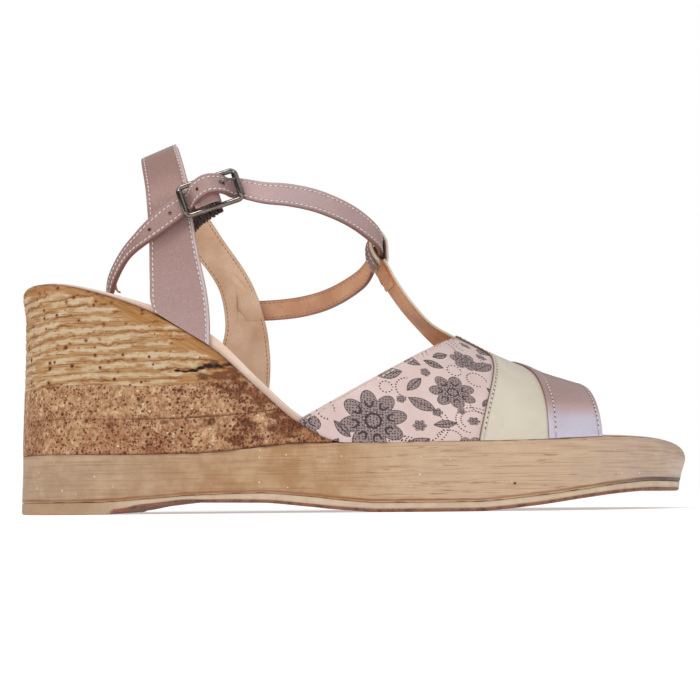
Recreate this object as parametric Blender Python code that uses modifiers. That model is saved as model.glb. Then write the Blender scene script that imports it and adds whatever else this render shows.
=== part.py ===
"""Platform wedge sandal, right shoe, standing empty on its sole.

Tables and sizes are in millimetres and the finished meshes in metres.
+X points to the toe, -Y to the outer side of the foot and +Z up. The origin is on the ground,
under the middle of the sole.
"""
import math
from collections import namedtuple

import bmesh
import bpy
from mathutils import Vector

MM = 0.001

# Driving sizes of the shoe
LENGTH = 247.0
HEEL_RADIUS = 31.0
TOE_REACH = 65.0
SIDE_LEAN = 0.004
GAP = 0.3
SEAT_GAP = 0.5
MARGIN = 0.5
WALL = 2.0
INSOLE_INSET = MARGIN + WALL + 3 * GAP

# Heel breast of the outsole: a small step that fades out along the arch
BREAST_X = -84.0
BREAST_RUN = 1.0
BREAST_STEP = 0.6
BREAST_FADE = (-60.0, -10.0)

# Rounded edges of the outsole, platform, wedge and insole
SOLE_EDGE = 0.8
GROOVE_EDGE = 0.3
DECK_EDGE = 2.0
WEDGE_EDGE = 3.5
INSOLE_EDGE = 0.8
# Share of a rounded edge's size that its middle ring is moved by
EDGE_TURN = 0.3

# Plan of the sole: middle line and half width before the two ends are rounded
Plan = namedtuple("Plan", "x middle half")
PLAN = (
    Plan(-125, -0.45, 31.0),
    Plan(-90, -0.45, 31.0),
    Plan(-60, -1.2, 31.0),
    Plan(-30, -2.6, 31.2),
    Plan(0, -2.4, 36.0),
    Plan(30, -1.6, 42.6),
    Plan(60, 0.1, 44.0),
    Plan(90, 3.6, 44.0),
    Plan(125, 10.5, 44.0),
)

# Side profile of the sole: underside, top of the outsole strip and top of the platform band
Sole = namedtuple("Sole", "x ground strip deck")
SOLE = (
    Sole(-125, 0.0, 4.0, 20.7),
    Sole(-90, 0.0, 4.1, 20.4),
    Sole(-84, 0.0, 4.3, 20.3),
    Sole(-72, 1.8, 5.1, 20.3),
    Sole(-55, 3.2, 6.2, 20.5),
    Sole(-33, 3.2, 6.7, 22.3),
    Sole(-18, 2.1, 5.6, 23.4),
    Sole(-4, 0.8, 4.0, 23.2),
    Sole(8, 0.0, 3.1, 22.6),
    Sole(38, 0.0, 3.1, 22.0),
    Sole(58, 1.6, 4.7, 22.5),
    Sole(76, 4.0, 6.9, 23.4),
    Sole(90, 5.6, 8.7, 23.8),
    Sole(104, 6.4, 9.7, 23.4),
    Sole(125, 6.2, 9.5, 22.2),
)

# Side profile of the wedge: the slope under the foot and the joints between its layers
Wedge = namedtuple("Wedge", "x slope bark cork")
WEDGE = (
    Wedge(-125, 80.4, 43.6, 31.8),
    Wedge(-107, 80.2, 44.4, 32.7),
    Wedge(-90, 75.6, 44.6, 32.6),
    Wedge(-70, 68.6, 43.8, 32.3),
    Wedge(-50, 57.1, 45.2, 32.8),
    Wedge(-32, 41.3, 46.0, 34.4),
    Wedge(-20, 30.9, 46.0, 35.6),
    Wedge(-8, 24.4, 46.0, 36.0),
    Wedge(0, 22.9, 46.0, 36.0),
)
LOWER_FRONT = -8.0
MIDDLE_FRONT = -25.6
TOP_FRONT = -37.6

# Insole thickness along the foot and the depth of its heel cup
Footbed = namedtuple("Footbed", "x thick cup")
FOOTBED = (
    Footbed(-125, 2.0, 1.0),
    Footbed(-90, 2.0, 1.0),
    Footbed(-45, 3.0, 0.6),
    Footbed(0, 2.6, 0.2),
    Footbed(60, 1.8, 0.3),
    Footbed(125, 1.5, 0.1),
)
CUP_INSET = 11.0

# Top line of the last over the forefoot and instep
Ridge = namedtuple("Ridge", "x height")
RIDGE = (
    Ridge(-25, 92.0),
    Ridge(10, 77.0),
    Ridge(25, 69.8),
    Ridge(39, 63.1),
    Ridge(53, 58.2),
    Ridge(70, 52.0),
    Ridge(86, 46.0),
)
RIDGE_SHIFT = 3.0
SECTION_POWER = 2.2

# Edges of the vamp
VAMP_REAR_BASE = -18.0
VAMP_REAR_TOP = 38.0
VAMP_FRONT_BASE = 84.6
VAMP_FRONT_TOP = 83.8

# One fold of a strap: its middle, its width and the direction across it
Fold = namedtuple("Fold", "x y z width across")

TBAR_THICK = 1.7
TBAR_YAW = (0.26, -0.96, 0.0)
LOOP_YAW = (0.25, -0.92, 0.30)
TBAR = (
    Fold(50, 3.0, 57.4, 17, TBAR_YAW),
    Fold(41, 2.6, 60.6, 17, TBAR_YAW),
    Fold(33, 2.0, 64.8, 16, TBAR_YAW),
    Fold(26, 1.0, 70.0, 15, TBAR_YAW),
    Fold(19.2, 0.2, 77.2, 14, (0.26, -0.95, 0.10)),
    Fold(14.0, -0.6, 84.6, 13, (0.26, -0.94, 0.20)),
    Fold(10.9, -1.0, 91.2, 13, LOOP_YAW),
    Fold(10.4, -1.0, 93.4, 13, LOOP_YAW),
)
LOOP = (
    Fold(11.0, -1.0, 91.4, 12.6, LOOP_YAW),
    Fold(11.6, -1.0, 96.5, 12.6, LOOP_YAW),
    Fold(11.3, -1.0, 102.0, 12.6, LOOP_YAW),
    Fold(8.5, -1.0, 105.6, 12.6, LOOP_YAW),
    Fold(5.7, -1.0, 102.0, 12.6, LOOP_YAW),
    Fold(5.9, -1.0, 96.5, 12.6, LOOP_YAW),
    Fold(8.2, -1.0, 90.4, 12.6, LOOP_YAW),
)

BACK_STRAP_THICK = 2.0
LATERAL_FOOT = -59.5
MEDIAL_FOOT = -43.0
FOOT_WIDTH = 24.0
FOOT_LIFT = 1.0
BACK_STRAP = (
    Fold(-60.4, -31.2, 77, 20.0, (1, 0, 0)),
    Fold(-61.4, -32.2, 87, 18.2, (1, 0, 0.03)),
    Fold(-62.8, -32.6, 98, 16.2, (1, 0, 0.09)),
    Fold(-66, -29.5, 115, 14.2, (0.98, 0, 0.21)),
    Fold(-70.4, -19, 129, 13.5, (0.95, 0, 0.31)),
    Fold(-72, -6, 133.4, 13.3, (0.94, 0, 0.34)),
    Fold(-70.5, 8, 130.4, 13.5, (0.94, 0, 0.34)),
    Fold(-66, 19, 122, 14, (0.94, 0, 0.34)),
    Fold(-59.5, 27, 108, 14.6, (0.94, 0, 0.34)),
    Fold(-50.6, 30.2, 92, 15.4, (0.98, 0, 0.2)),
    Fold(-45.0, 30, 76, 17.6, (1, 0, 0)),
    Fold(-43.4, 29.8, 65, 18.8, (1, 0, -0.1)),
)

STRAP_THICK = 1.6
STRAP_WIDTH = 6.8
UPRIGHT = (0, 0, 1)

# Buckle: its middle, its turn in the side view and the sizes of its wire frame
BUCKLE = Vector((-49.2, -38.6, 110.0))
BUCKLE_TURN = math.radians(18.4)
FRAME_LONG = 18.8
FRAME_SHORT = 10.2
FRAME_CORNER = 2.0
FRAME_WIRE = 1.0
CENTRE_BAR = 0.8
PRONG_WIRE = 0.6
PRONG_HOLE = 1.1
PRONG_HOLE_AT = 3.2
PRONG_HOLE_OUT = 3.6
PRONG_HOLE_DEPTH = 6.0
# The prong, from the centre bar to the front bar: place along the frame and height over its plane
PRONG = ((1.9, -0.2), (2.9, 1.8), (3.3, 4.5), (4.1, 5.3), (5.8, 4.9), (9.6, 2.0))

# The ankle strap, from its sewn end to its loose tip; the rows at the buckle follow from its frame
ANKLE_BEFORE = (
    Fold(-52, 33.0, 81.0, STRAP_WIDTH, UPRIGHT),
    Fold(-38, 33.2, 80.8, STRAP_WIDTH, UPRIGHT),
    Fold(-22, 29.0, 80.4, STRAP_WIDTH, UPRIGHT),
    Fold(-9, 21.5, 83.4, STRAP_WIDTH, UPRIGHT),
    Fold(2.2, 12.0, 91.2, STRAP_WIDTH, UPRIGHT),
    Fold(7.0, 5.4, 96.7, 6.5, UPRIGHT),
    Fold(8.8, -1.0, 98.2, 6.5, UPRIGHT),
    Fold(10.4, -7.4, 100.2, 6.5, UPRIGHT),
    Fold(7.6, -14.0, 103.4, STRAP_WIDTH, UPRIGHT),
    Fold(-1, -21.5, 106.8, STRAP_WIDTH, UPRIGHT),
    Fold(-12, -28.5, 109.3, STRAP_WIDTH, UPRIGHT),
    Fold(-22, -33.5, 110.4, STRAP_WIDTH, UPRIGHT),
    Fold(-31, -36.2, 111.0, STRAP_WIDTH, UPRIGHT),
)
ANKLE_AFTER = (
    Fold(-66, -36.2, 103.2, STRAP_WIDTH, UPRIGHT),
    Fold(-73, -35.4, 97.8, STRAP_WIDTH, UPRIGHT),
    Fold(-79, -31.0, 91.4, STRAP_WIDTH, UPRIGHT),
    Fold(-83.8, -25.5, 84.4, 6.6, (-0.6, 0.4, 0.6)),
    Fold(-85.3, -21.2, 78.0, 6.0, (-0.7, 0.7, 0.1)),
)
# Strap rows at the buckle: place along the frame and height over its plane
BUCKLE_WEAVE = ((10.4, -2.6), (7.4, -1.5), (4.4, 2.4), (0.0, 4.6), (-4.4, 2.4), (-7.4, -1.5), (-10.4, -2.6))

ELASTIC_THICK = 1.2
ELASTIC = (
    Fold(-62, -29.2, 96.0, 6.5, (-0.4, 0, 0.9)),
    Fold(-56.5, -29.2, 98.6, 6.5, (-0.4, 0, 0.9)),
    Fold(-52.0, -32.2, 102.4, 6.5, (-0.4, 0, 0.9)),
    Fold(-48.2, -36.0, 106.6, 6.5, (-0.35, 0, 0.9)),
    Fold(-44.0, -36.4, 108.8, 6.5, (-0.33, 0, 0.9)),
)

# Colour, roughness and metallic value of each finish
Finish = namedtuple("Finish", "colour roughness metallic")
FINISHES = {
    "pale_outsole": Finish((0.80, 0.72, 0.60), 0.6, 0.0),
    "pale_wood_look": Finish((0.72, 0.53, 0.34), 0.6, 0.0),
    "cork_look": Finish((0.50, 0.30, 0.15), 0.7, 0.0),
    "bark_look": Finish((0.52, 0.33, 0.17), 0.7, 0.0),
    "peach_suede": Finish((0.80, 0.52, 0.34), 0.8, 0.0),
    "vamp_leather": Finish((0.80, 0.72, 0.63), 0.45, 0.0),
    "mauve_metallic_leather": Finish((0.45, 0.32, 0.32), 0.35, 0.3),
    "gunmetal": Finish((0.25, 0.24, 0.23), 0.25, 1.0),
    "brown_elastic": Finish((0.05, 0.03, 0.03), 0.8, 0.0),
}

# Mesh fineness
SOLE_STATIONS = 40
WEDGE_STATIONS = 22
VAMP_ALONG = 20
VAMP_AROUND = 28
FOLD_STEPS = 4
HALVINGS = 40
CORNER_STEPS = 4
HOLE_SIDES = 12
SHARP_ANGLE = math.radians(35)
WELD = 0.01


def hermite(rows, x, column):
    """Smooth value of one table column at x, with slopes that never overshoot."""
    last = len(rows) - 1
    x = min(max(x, rows[0].x), rows[last].x)
    at = max(i for i in range(last) if rows[i].x <= x)

    def slope(i):
        return (getattr(rows[i + 1], column) - getattr(rows[i], column)) / (rows[i + 1].x - rows[i].x)

    def tangent(i):
        if i == 0 or i == last:
            return slope(min(i, last - 1))
        before, after = slope(i - 1), slope(i)
        if before * after <= 0:
            return 0.0
        return 2 * before * after / (before + after)

    span = rows[at + 1].x - rows[at].x
    t = (x - rows[at].x) / span
    start, end = getattr(rows[at], column), getattr(rows[at + 1], column)
    bend = (1 - t) * tangent(at) * t * (1 - t) - t * tangent(at + 1) * t * (1 - t)
    ease = t * t * (3 - 2 * t)
    return start + (end - start) * ease + span * bend


def half_width(x):
    """Half width of the sole, with a round heel and an elliptical toe."""
    half = hermite(PLAN, x, "half")
    heel_start = -LENGTH / 2 + HEEL_RADIUS
    toe_start = LENGTH / 2 - TOE_REACH
    if x < heel_start:
        half *= math.sqrt(max(0.0, 1 - ((heel_start - x) / HEEL_RADIUS) ** 2))
    if x > toe_start:
        half *= math.sqrt(max(0.0, 1 - ((x - toe_start) / TOE_REACH) ** 2))
    return half


def plan_point(x, side):
    """Outline of the sole at x: side is -1 on the outer edge and 1 on the inner edge."""
    return Vector((x, hermite(PLAN, x, "middle") + side * half_width(x)))


def inset_point(x, side, inset):
    """Outline point moved inwards, square to the outline."""
    step = 0.05
    low = max(x - step, -LENGTH / 2)
    high = min(x + step, LENGTH / 2)
    along = (plan_point(high, side) - plan_point(low, side)).normalized()
    inward = Vector((-along.y, along.x)) * -side
    return plan_point(x, side) + inward * inset


def ground(x):
    """Underside of the outsole, with the step of the heel breast."""
    start, end = BREAST_FADE
    step = min(max((x - BREAST_X) / BREAST_RUN, 0.0), 1.0) * BREAST_STEP
    fade = min(max((x - start) / (end - start), 0.0), 1.0)
    return hermite(SOLE, x, "ground") + step * (1 - fade)


def strip_top(x):
    return hermite(SOLE, x, "strip")


def deck_top(x):
    return hermite(SOLE, x, "deck")


def slope_top(x):
    return hermite(WEDGE, x, "slope")


def bark_joint(x):
    return hermite(WEDGE, x, "bark")


def cork_joint(x):
    return hermite(WEDGE, x, "cork")


def seat(x):
    """Top of the stack that carries insole, vamp and straps."""
    return max(slope_top(x), deck_top(x)) if x < WEDGE[-1].x else deck_top(x)


def insole_floor(x):
    return seat(x) + SEAT_GAP


def insole_top(x):
    return insole_floor(x) + hermite(FOOTBED, x, "thick")


def insole_cup(x):
    return insole_top(x) - hermite(FOOTBED, x, "cup")


def edge_inset(x):
    """How far the leaning side wall has moved in at the seat."""
    return SIDE_LEAN * seat(x)


def new_material(name):
    finish = FINISHES[name]
    material = bpy.data.materials.new(name)
    material.use_nodes = True
    shader = material.node_tree.nodes["Principled BSDF"]
    shader.inputs["Base Color"].default_value = (*finish.colour, 1)
    shader.inputs["Roughness"].default_value = finish.roughness
    shader.inputs["Metallic"].default_value = finish.metallic
    return material


def finish_mesh(name, bm, material, collection):
    """Turn a bmesh in millimetres into a named object in metres."""
    bmesh.ops.recalc_face_normals(bm, faces=bm.faces)
    bmesh.ops.scale(bm, vec=(MM, MM, MM), verts=bm.verts)
    mesh = bpy.data.meshes.new(name)
    bm.to_mesh(mesh)
    bm.free()
    mesh.shade_smooth()
    mesh.set_sharp_from_angle(angle=SHARP_ANGLE)
    mesh.materials.append(material)
    part = bpy.data.objects.new(name, mesh)
    collection.objects.link(part)
    return part


def full_stations():
    """Stations from heel to toe, close together where the ends turn."""
    turn = math.pi / SOLE_STATIONS
    places = [-LENGTH / 2 * math.cos((i + 0.5) * turn) for i in range(SOLE_STATIONS)]
    return sorted(places + [BREAST_X, BREAST_X + BREAST_RUN])


def wedge_stations(front):
    """Stations from the heel to the front of a wedge layer, close together at the heel."""
    turn = math.pi / 2 / WEDGE_STATIONS
    reach = front + LENGTH / 2
    places = [1 - math.cos((i + 0.5) * turn) for i in range(WEDGE_STATIONS)]
    return [-LENGTH / 2 + reach * place / places[-1] for place in places]


def slab(name, stations, rings, material, collection):
    """Layer of the sole: a stack of rings, each an inset and a height, closed by two lids."""
    bm = bmesh.new()
    rows = []
    for inset, height in rings:
        outer, inner = [], []
        for x in stations:
            for side, row in ((-1, outer), (1, inner)):
                at = inset_point(x, side, inset(x))
                row.append(bm.verts.new((at.x, at.y, height(at.x))))
        rows.append((outer, inner))
    for below, above in zip(rows, rows[1:]):
        low = below[0] + below[1][::-1]
        high = above[0] + above[1][::-1]
        for i in range(len(low)):
            j = (i + 1) % len(low)
            bm.faces.new((low[i], low[j], high[j], high[i]))
    for outer, inner in (rows[0], rows[-1]):
        for i in range(len(outer) - 1):
            bm.faces.new((outer[i], outer[i + 1], inner[i + 1], inner[i]))
    return finish_mesh(name, bm, material, collection)


def leaning(height, extra=0.0):
    """Ring that follows the leaning side wall at a height, moved in by extra."""
    return (lambda x: SIDE_LEAN * height(x) + extra, height)


def raised(height, rise):
    return lambda x: height(x) + rise


def lower_of(first, second):
    return lambda x: min(first(x), second(x))


def make_outsole(material, collection):
    rings = (
        leaning(ground, SOLE_EDGE),
        leaning(raised(ground, SOLE_EDGE)),
        leaning(strip_top),
    )
    return slab("outsole", full_stations(), rings, material, collection)


def make_platform(material, collection):
    rings = (
        leaning(raised(strip_top, GAP), GROOVE_EDGE),
        leaning(raised(strip_top, GAP + SOLE_EDGE)),
        leaning(raised(deck_top, -DECK_EDGE)),
        leaning(raised(deck_top, -EDGE_TURN * DECK_EDGE), EDGE_TURN * DECK_EDGE),
        leaning(deck_top, DECK_EDGE),
    )
    return slab("platform", full_stations(), rings, material, collection)


def make_wedge_layers(cork, bark, collection):
    """Three layers of the wedge, each cut by the slope under the foot."""
    seat_on_deck = raised(deck_top, GAP)
    slab("wedge_lower_layer", wedge_stations(LOWER_FRONT), (
        leaning(seat_on_deck),
        leaning(lower_of(cork_joint, slope_top)),
    ), cork, collection)
    slab("wedge_middle_layer", wedge_stations(MIDDLE_FRONT), (
        leaning(raised(cork_joint, GAP)),
        leaning(lower_of(bark_joint, slope_top)),
    ), cork, collection)
    floor = raised(bark_joint, GAP)

    def rim(drop, lift):
        return lambda x: max(slope_top(x) - drop * WEDGE_EDGE, floor(x) + lift * GAP)

    slab("wedge_top_layer", wedge_stations(TOP_FRONT), (
        leaning(floor),
        leaning(rim(1, EDGE_TURN)),
        leaning(rim(EDGE_TURN, 2 * EDGE_TURN), EDGE_TURN * WEDGE_EDGE),
        leaning(rim(0, 1), WEDGE_EDGE),
    ), bark, collection)


def make_insole(material, collection):
    rings = (
        leaning(insole_floor, INSOLE_INSET),
        leaning(raised(insole_top, -INSOLE_EDGE / 2), INSOLE_INSET),
        leaning(insole_top, INSOLE_INSET + INSOLE_EDGE),
        leaning(insole_cup, INSOLE_INSET + CUP_INSET),
    )
    return slab("insole", full_stations(), rings, material, collection)


def signed_power(value, power):
    return math.copysign(abs(value) ** power, value)


def last_point(x, t):
    """Point on the outside of the vamp: t runs from the outer base, over the ridge, to the inner base."""
    inset = edge_inset(x) + MARGIN
    turn = math.pi * (1 - t)
    across = signed_power(math.cos(turn), 2 / SECTION_POWER)
    rise = max(0.0, math.sin(turn)) ** (2 / SECTION_POWER)
    base = seat(x) + SEAT_GAP
    ridge = hermite(RIDGE, x, "height")
    middle = hermite(PLAN, x, "middle") + RIDGE_SHIFT * rise
    return Vector((x, middle + across * (half_width(x) - inset), base + rise * (ridge - base)))


def rear_line(x):
    """Height of the vamp's rear edge in the side view, a straight cut from its base to its top."""
    low = seat(VAMP_REAR_BASE) + SEAT_GAP
    high = hermite(RIDGE, VAMP_REAR_TOP, "height")
    return low + (high - low) * (x - VAMP_REAR_BASE) / (VAMP_REAR_TOP - VAMP_REAR_BASE)


def rear_edge(t):
    """Where the section line t of the last meets the rear cut, found by halving."""
    low, high = VAMP_REAR_BASE, VAMP_REAR_TOP
    for _ in range(HALVINGS):
        middle = (low + high) / 2
        if last_point(middle, t).z > rear_line(middle):
            low = middle
        else:
            high = middle
    return (low + high) / 2


def front_edge(t):
    lift = math.sin(math.pi * t)
    return VAMP_FRONT_BASE + (VAMP_FRONT_TOP - VAMP_FRONT_BASE) * lift


def vamp_shell(material, collection):
    """Vamp between its rear and front edges, an open surface given its wall."""
    bm = bmesh.new()
    grid = []
    for j in range(VAMP_AROUND + 1):
        t = j / VAMP_AROUND
        rear, front = rear_edge(t), front_edge(t)
        row = []
        for i in range(VAMP_ALONG + 1):
            x = rear + (front - rear) * i / VAMP_ALONG
            row.append(bm.verts.new(last_point(x, t)))
        grid.append(row)
    for low, high in zip(grid, grid[1:]):
        for i in range(VAMP_ALONG):
            bm.faces.new((low[i], low[i + 1], high[i + 1], high[i]))
    part = finish_mesh("upper_vamp", bm, material, collection)
    top = max(part.data.polygons, key=lambda face: face.center.z)
    if top.normal.z < 0:
        part.data.flip_normals()
    wall = part.modifiers.new("wall", "SOLIDIFY")
    wall.thickness = WALL * MM
    wall.offset = -1
    wall.use_even_offset = True
    return part


def smooth_folds(folds, closed=False):
    """Even run of folds through the table's rows."""
    count = len(folds)
    spans = count if closed else count - 1

    def row(i):
        return folds[i % count] if closed else folds[min(max(i, 0), count - 1)]

    def values(fold):
        return (fold.x, fold.y, fold.z, fold.width, *fold.across)

    result = []
    for span in range(spans):
        before, start, end, after = (values(row(span + k)) for k in (-1, 0, 1, 2))
        for step in range(FOLD_STEPS):
            t = step / FOLD_STEPS
            mixed = [
                0.5 * (2 * b + (c - a) * t + (2 * a - 5 * b + 4 * c - d) * t ** 2
                       + (3 * b - a - 3 * c + d) * t ** 3)
                for a, b, c, d in zip(before, start, end, after)
            ]
            result.append(Fold(*mixed[:4], mixed[4:]))
    if not closed:
        result.append(folds[-1])
    return result


def band(name, folds, thick, material, collection, closed=False, square=True):
    """Strap of even thickness along smoothed folds, with sections square to its run or as the folds lie."""
    run = smooth_folds(folds, closed)
    count = len(run)
    middles = [Vector((fold.x, fold.y, fold.z)) for fold in run]
    bm = bmesh.new()
    rings = []
    for i, fold in enumerate(run):
        ahead = middles[(i + 1) % count] if closed or i < count - 1 else middles[i]
        behind = middles[i - 1] if closed or i > 0 else middles[i]
        along = (ahead - behind).normalized()
        across = Vector(fold.across)
        face = along.cross(across).normalized()
        if square:
            across = face.cross(along)
        across = across.normalized() * fold.width / 2
        half = face * thick / 2
        corners = (across + half, across - half, -across - half, -across + half)
        rings.append([bm.verts.new(middles[i] + corner) for corner in corners])
    for i in range(count if closed else count - 1):
        ring, following = rings[i], rings[(i + 1) % count]
        for k in range(4):
            j = (k + 1) % 4
            bm.faces.new((ring[k], ring[j], following[j], following[k]))
    if not closed:
        bm.faces.new(rings[0])
        bm.faces.new(rings[-1])
    return finish_mesh(name, bm, material, collection)


def use_as_tool(tool, target, operation):
    """Join a helper solid to a part, or cut the part with it."""
    tool.hide_render = True
    tool.display_type = "WIRE"
    change = target.modifiers.new(tool.name, "BOOLEAN")
    change.operation = operation
    change.object = tool


def make_upper(material, collection, helpers):
    """Vamp, T-bar and strap loop, joined as one hollow wall."""
    vamp = vamp_shell(material, collection)
    bar = band("tbar", TBAR, TBAR_THICK, material, helpers)
    loop = band("tbar_loop", LOOP, TBAR_THICK, material, helpers, closed=True)
    use_as_tool(bar, vamp, "UNION")
    use_as_tool(loop, vamp, "UNION")
    return vamp


def foot_fold(x, side):
    """End of a back strap leg, laid along the wedge slope just inside its edge."""
    reach = 4.0
    slope = (slope_top(x + reach) - slope_top(x - reach)) / (2 * reach)
    inset = edge_inset(x) + MARGIN + BACK_STRAP_THICK / 2
    at = inset_point(x, side, inset)
    across = Vector((1, 0, slope)).normalized()
    return Fold(x, at.y, slope_top(x) + FOOT_LIFT, FOOT_WIDTH, tuple(across))


def make_back_strap(material, collection):
    folds = (foot_fold(LATERAL_FOOT, -1), *BACK_STRAP, foot_fold(MEDIAL_FOOT, 1))
    return band("back_strap", folds, BACK_STRAP_THICK, material, collection, square=False)


def buckle_axes():
    """Long side, short side and outward face of the buckle."""
    long_side = Vector((math.cos(BUCKLE_TURN), 0, math.sin(BUCKLE_TURN)))
    short_side = Vector((-math.sin(BUCKLE_TURN), 0, math.cos(BUCKLE_TURN)))
    return long_side, short_side, Vector((0, -1, 0))


def buckle_point(along, up, out):
    """Point given along the buckle, up its short side and out from its plane."""
    long_side, short_side, outward = buckle_axes()
    return BUCKLE + long_side * along + short_side * up + outward * out


def make_ankle_strap(material, collection, helpers):
    """Ankle strap woven through the buckle, with the prong's hole."""
    upward = tuple(buckle_axes()[1])
    weave = []
    for along, out in BUCKLE_WEAVE:
        at = buckle_point(along, 0, out)
        weave.append(Fold(at.x, at.y, at.z, STRAP_WIDTH, upward))
    folds = (*ANKLE_BEFORE, *weave, *ANKLE_AFTER)
    strap = band("ankle_strap", folds, STRAP_THICK, material, collection)
    depth = PRONG_HOLE_DEPTH * MM
    bpy.ops.mesh.primitive_cylinder_add(vertices=HOLE_SIDES, radius=PRONG_HOLE * MM, depth=depth)
    punch = bpy.context.active_object
    punch.name = "prong_hole"
    punch.rotation_euler = (math.radians(90), 0, 0)
    punch.location = buckle_point(PRONG_HOLE_AT, 0, PRONG_HOLE_OUT) * MM
    for holder in punch.users_collection:
        holder.objects.unlink(punch)
    helpers.objects.link(punch)
    use_as_tool(punch, strap, "DIFFERENCE")
    return strap


def wire(name, points, radius, closed, material, collection):
    """Round wire along points, as a closed mesh."""
    curve = bpy.data.curves.new(name, "CURVE")
    curve.dimensions = "3D"
    curve.bevel_depth = radius * MM
    curve.bevel_resolution = 2
    curve.use_fill_caps = not closed
    spline = curve.splines.new("POLY")
    spline.points.add(len(points) - 1)
    for knot, point in zip(spline.points, points):
        knot.co = (*(point * MM), 1)
    spline.use_cyclic_u = closed
    holder = bpy.data.objects.new(name + "_path", curve)
    collection.objects.link(holder)
    graph = bpy.context.evaluated_depsgraph_get()
    mesh = bpy.data.meshes.new_from_object(holder.evaluated_get(graph))
    bpy.data.objects.remove(holder)
    bm = bmesh.new()
    bm.from_mesh(mesh)
    bmesh.ops.remove_doubles(bm, verts=bm.verts, dist=WELD * MM)
    bmesh.ops.recalc_face_normals(bm, faces=bm.faces)
    bm.to_mesh(mesh)
    bm.free()
    mesh.shade_smooth()
    mesh.materials.clear()
    mesh.materials.append(material)
    part = bpy.data.objects.new(name, mesh)
    collection.objects.link(part)
    return part


def frame_outline():
    """Rounded rectangle of the buckle frame, at the middle of its wire."""
    along = FRAME_LONG / 2 - FRAME_CORNER
    up = FRAME_SHORT / 2 - FRAME_CORNER
    points = []
    for quarter, (side, rise) in enumerate(((1, 1), (-1, 1), (-1, -1), (1, -1))):
        for step in range(CORNER_STEPS + 1):
            turn = math.pi / 2 * (quarter + step / CORNER_STEPS)
            points.append(buckle_point(
                side * along + FRAME_CORNER * math.cos(turn),
                rise * up + FRAME_CORNER * math.sin(turn), 0))
    return points


def make_buckle(material, collection, helpers):
    """Wire frame with its centre bar, and the prong that passes through the strap."""
    frame = wire("buckle_frame", frame_outline(), FRAME_WIRE, True, material, collection)
    half = FRAME_SHORT / 2
    ends = [buckle_point(0, -half, 0), buckle_point(0, half, 0)]
    use_as_tool(wire("centre_bar", ends, CENTRE_BAR, False, material, helpers), frame, "UNION")
    prong = [buckle_point(along, 0, out) for along, out in PRONG]
    return wire("buckle_prong", prong, PRONG_WIRE, False, material, collection)


def main():
    for thing in list(bpy.data.objects):
        bpy.data.objects.remove(thing)
    shoe = bpy.data.collections.new("platform_sandal")
    helpers = bpy.data.collections.new("helper_solids")
    bpy.context.scene.collection.children.link(shoe)
    bpy.context.scene.collection.children.link(helpers)

    finish = {name: new_material(name) for name in FINISHES}
    make_outsole(finish["pale_outsole"], shoe)
    make_platform(finish["pale_wood_look"], shoe)
    make_wedge_layers(finish["cork_look"], finish["bark_look"], shoe)
    make_insole(finish["peach_suede"], shoe)
    make_upper(finish["vamp_leather"], shoe, helpers)
    make_back_strap(finish["mauve_metallic_leather"], shoe)
    make_ankle_strap(finish["mauve_metallic_leather"], shoe, helpers)
    make_buckle(finish["gunmetal"], shoe, helpers)
    band("buckle_elastic", ELASTIC, ELASTIC_THICK, finish["brown_elastic"], shoe)


main()
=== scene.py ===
"""Looks of a platform wedge sandal: layered sole, printed vamp, stitched straps and buckle.

Tables and sizes are in millimetres. The finished meshes are in metres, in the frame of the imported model:
+X points to the toe, -Y to the outer side of the foot and +Z up.
"""
import math

import bpy
import numpy as np
from mathutils import Euler, Matrix, noise


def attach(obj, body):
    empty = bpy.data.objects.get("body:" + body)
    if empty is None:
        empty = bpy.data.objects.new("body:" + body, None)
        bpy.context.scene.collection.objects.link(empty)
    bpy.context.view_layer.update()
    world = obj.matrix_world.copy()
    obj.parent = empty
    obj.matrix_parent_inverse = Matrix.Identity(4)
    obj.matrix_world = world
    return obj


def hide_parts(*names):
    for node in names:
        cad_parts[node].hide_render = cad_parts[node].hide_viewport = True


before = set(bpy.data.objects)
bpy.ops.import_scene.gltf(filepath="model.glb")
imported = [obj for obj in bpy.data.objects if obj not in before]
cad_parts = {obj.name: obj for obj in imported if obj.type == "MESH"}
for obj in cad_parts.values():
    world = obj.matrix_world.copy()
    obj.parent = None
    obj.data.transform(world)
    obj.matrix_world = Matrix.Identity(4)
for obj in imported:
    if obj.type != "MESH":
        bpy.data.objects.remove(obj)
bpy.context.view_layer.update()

MM = 0.001

# Length of the sole, rounding of its ends, lean of its wall and draw of its toe
LENGTH = 247.0
HEEL_RADIUS = 31.0
TOE_REACH = 65.0
SIDE_LEAN = 0.004
TOE_TUCK = 2.2
TOE_BULGE = 1.0
HEEL_END = (104.0, 123.0)
TOE_END = (98.0, 121.0)
# Height at the back of the heel and how far it draws in there
HEEL_INSET = (
    (0, 1.3), (16, 1.3), (26, 0.9), (53, 0.85), (66, 0.6), (71, 0.4), (76, -0.4), (81, -1.1), (86, -1.4),
)
# Plan of the sole: x, middle line, half width
PLAN = (
    (-125, -0.45, 31.0),
    (-90, -0.45, 31.0),
    (-60, -1.2, 31.0),
    (-30, -2.6, 31.2),
    (0, -2.4, 36.0),
    (30, -1.6, 42.6),
    (60, 0.1, 44.0),
    (90, 3.6, 44.0),
    (125, 10.5, 44.0),
)
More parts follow.
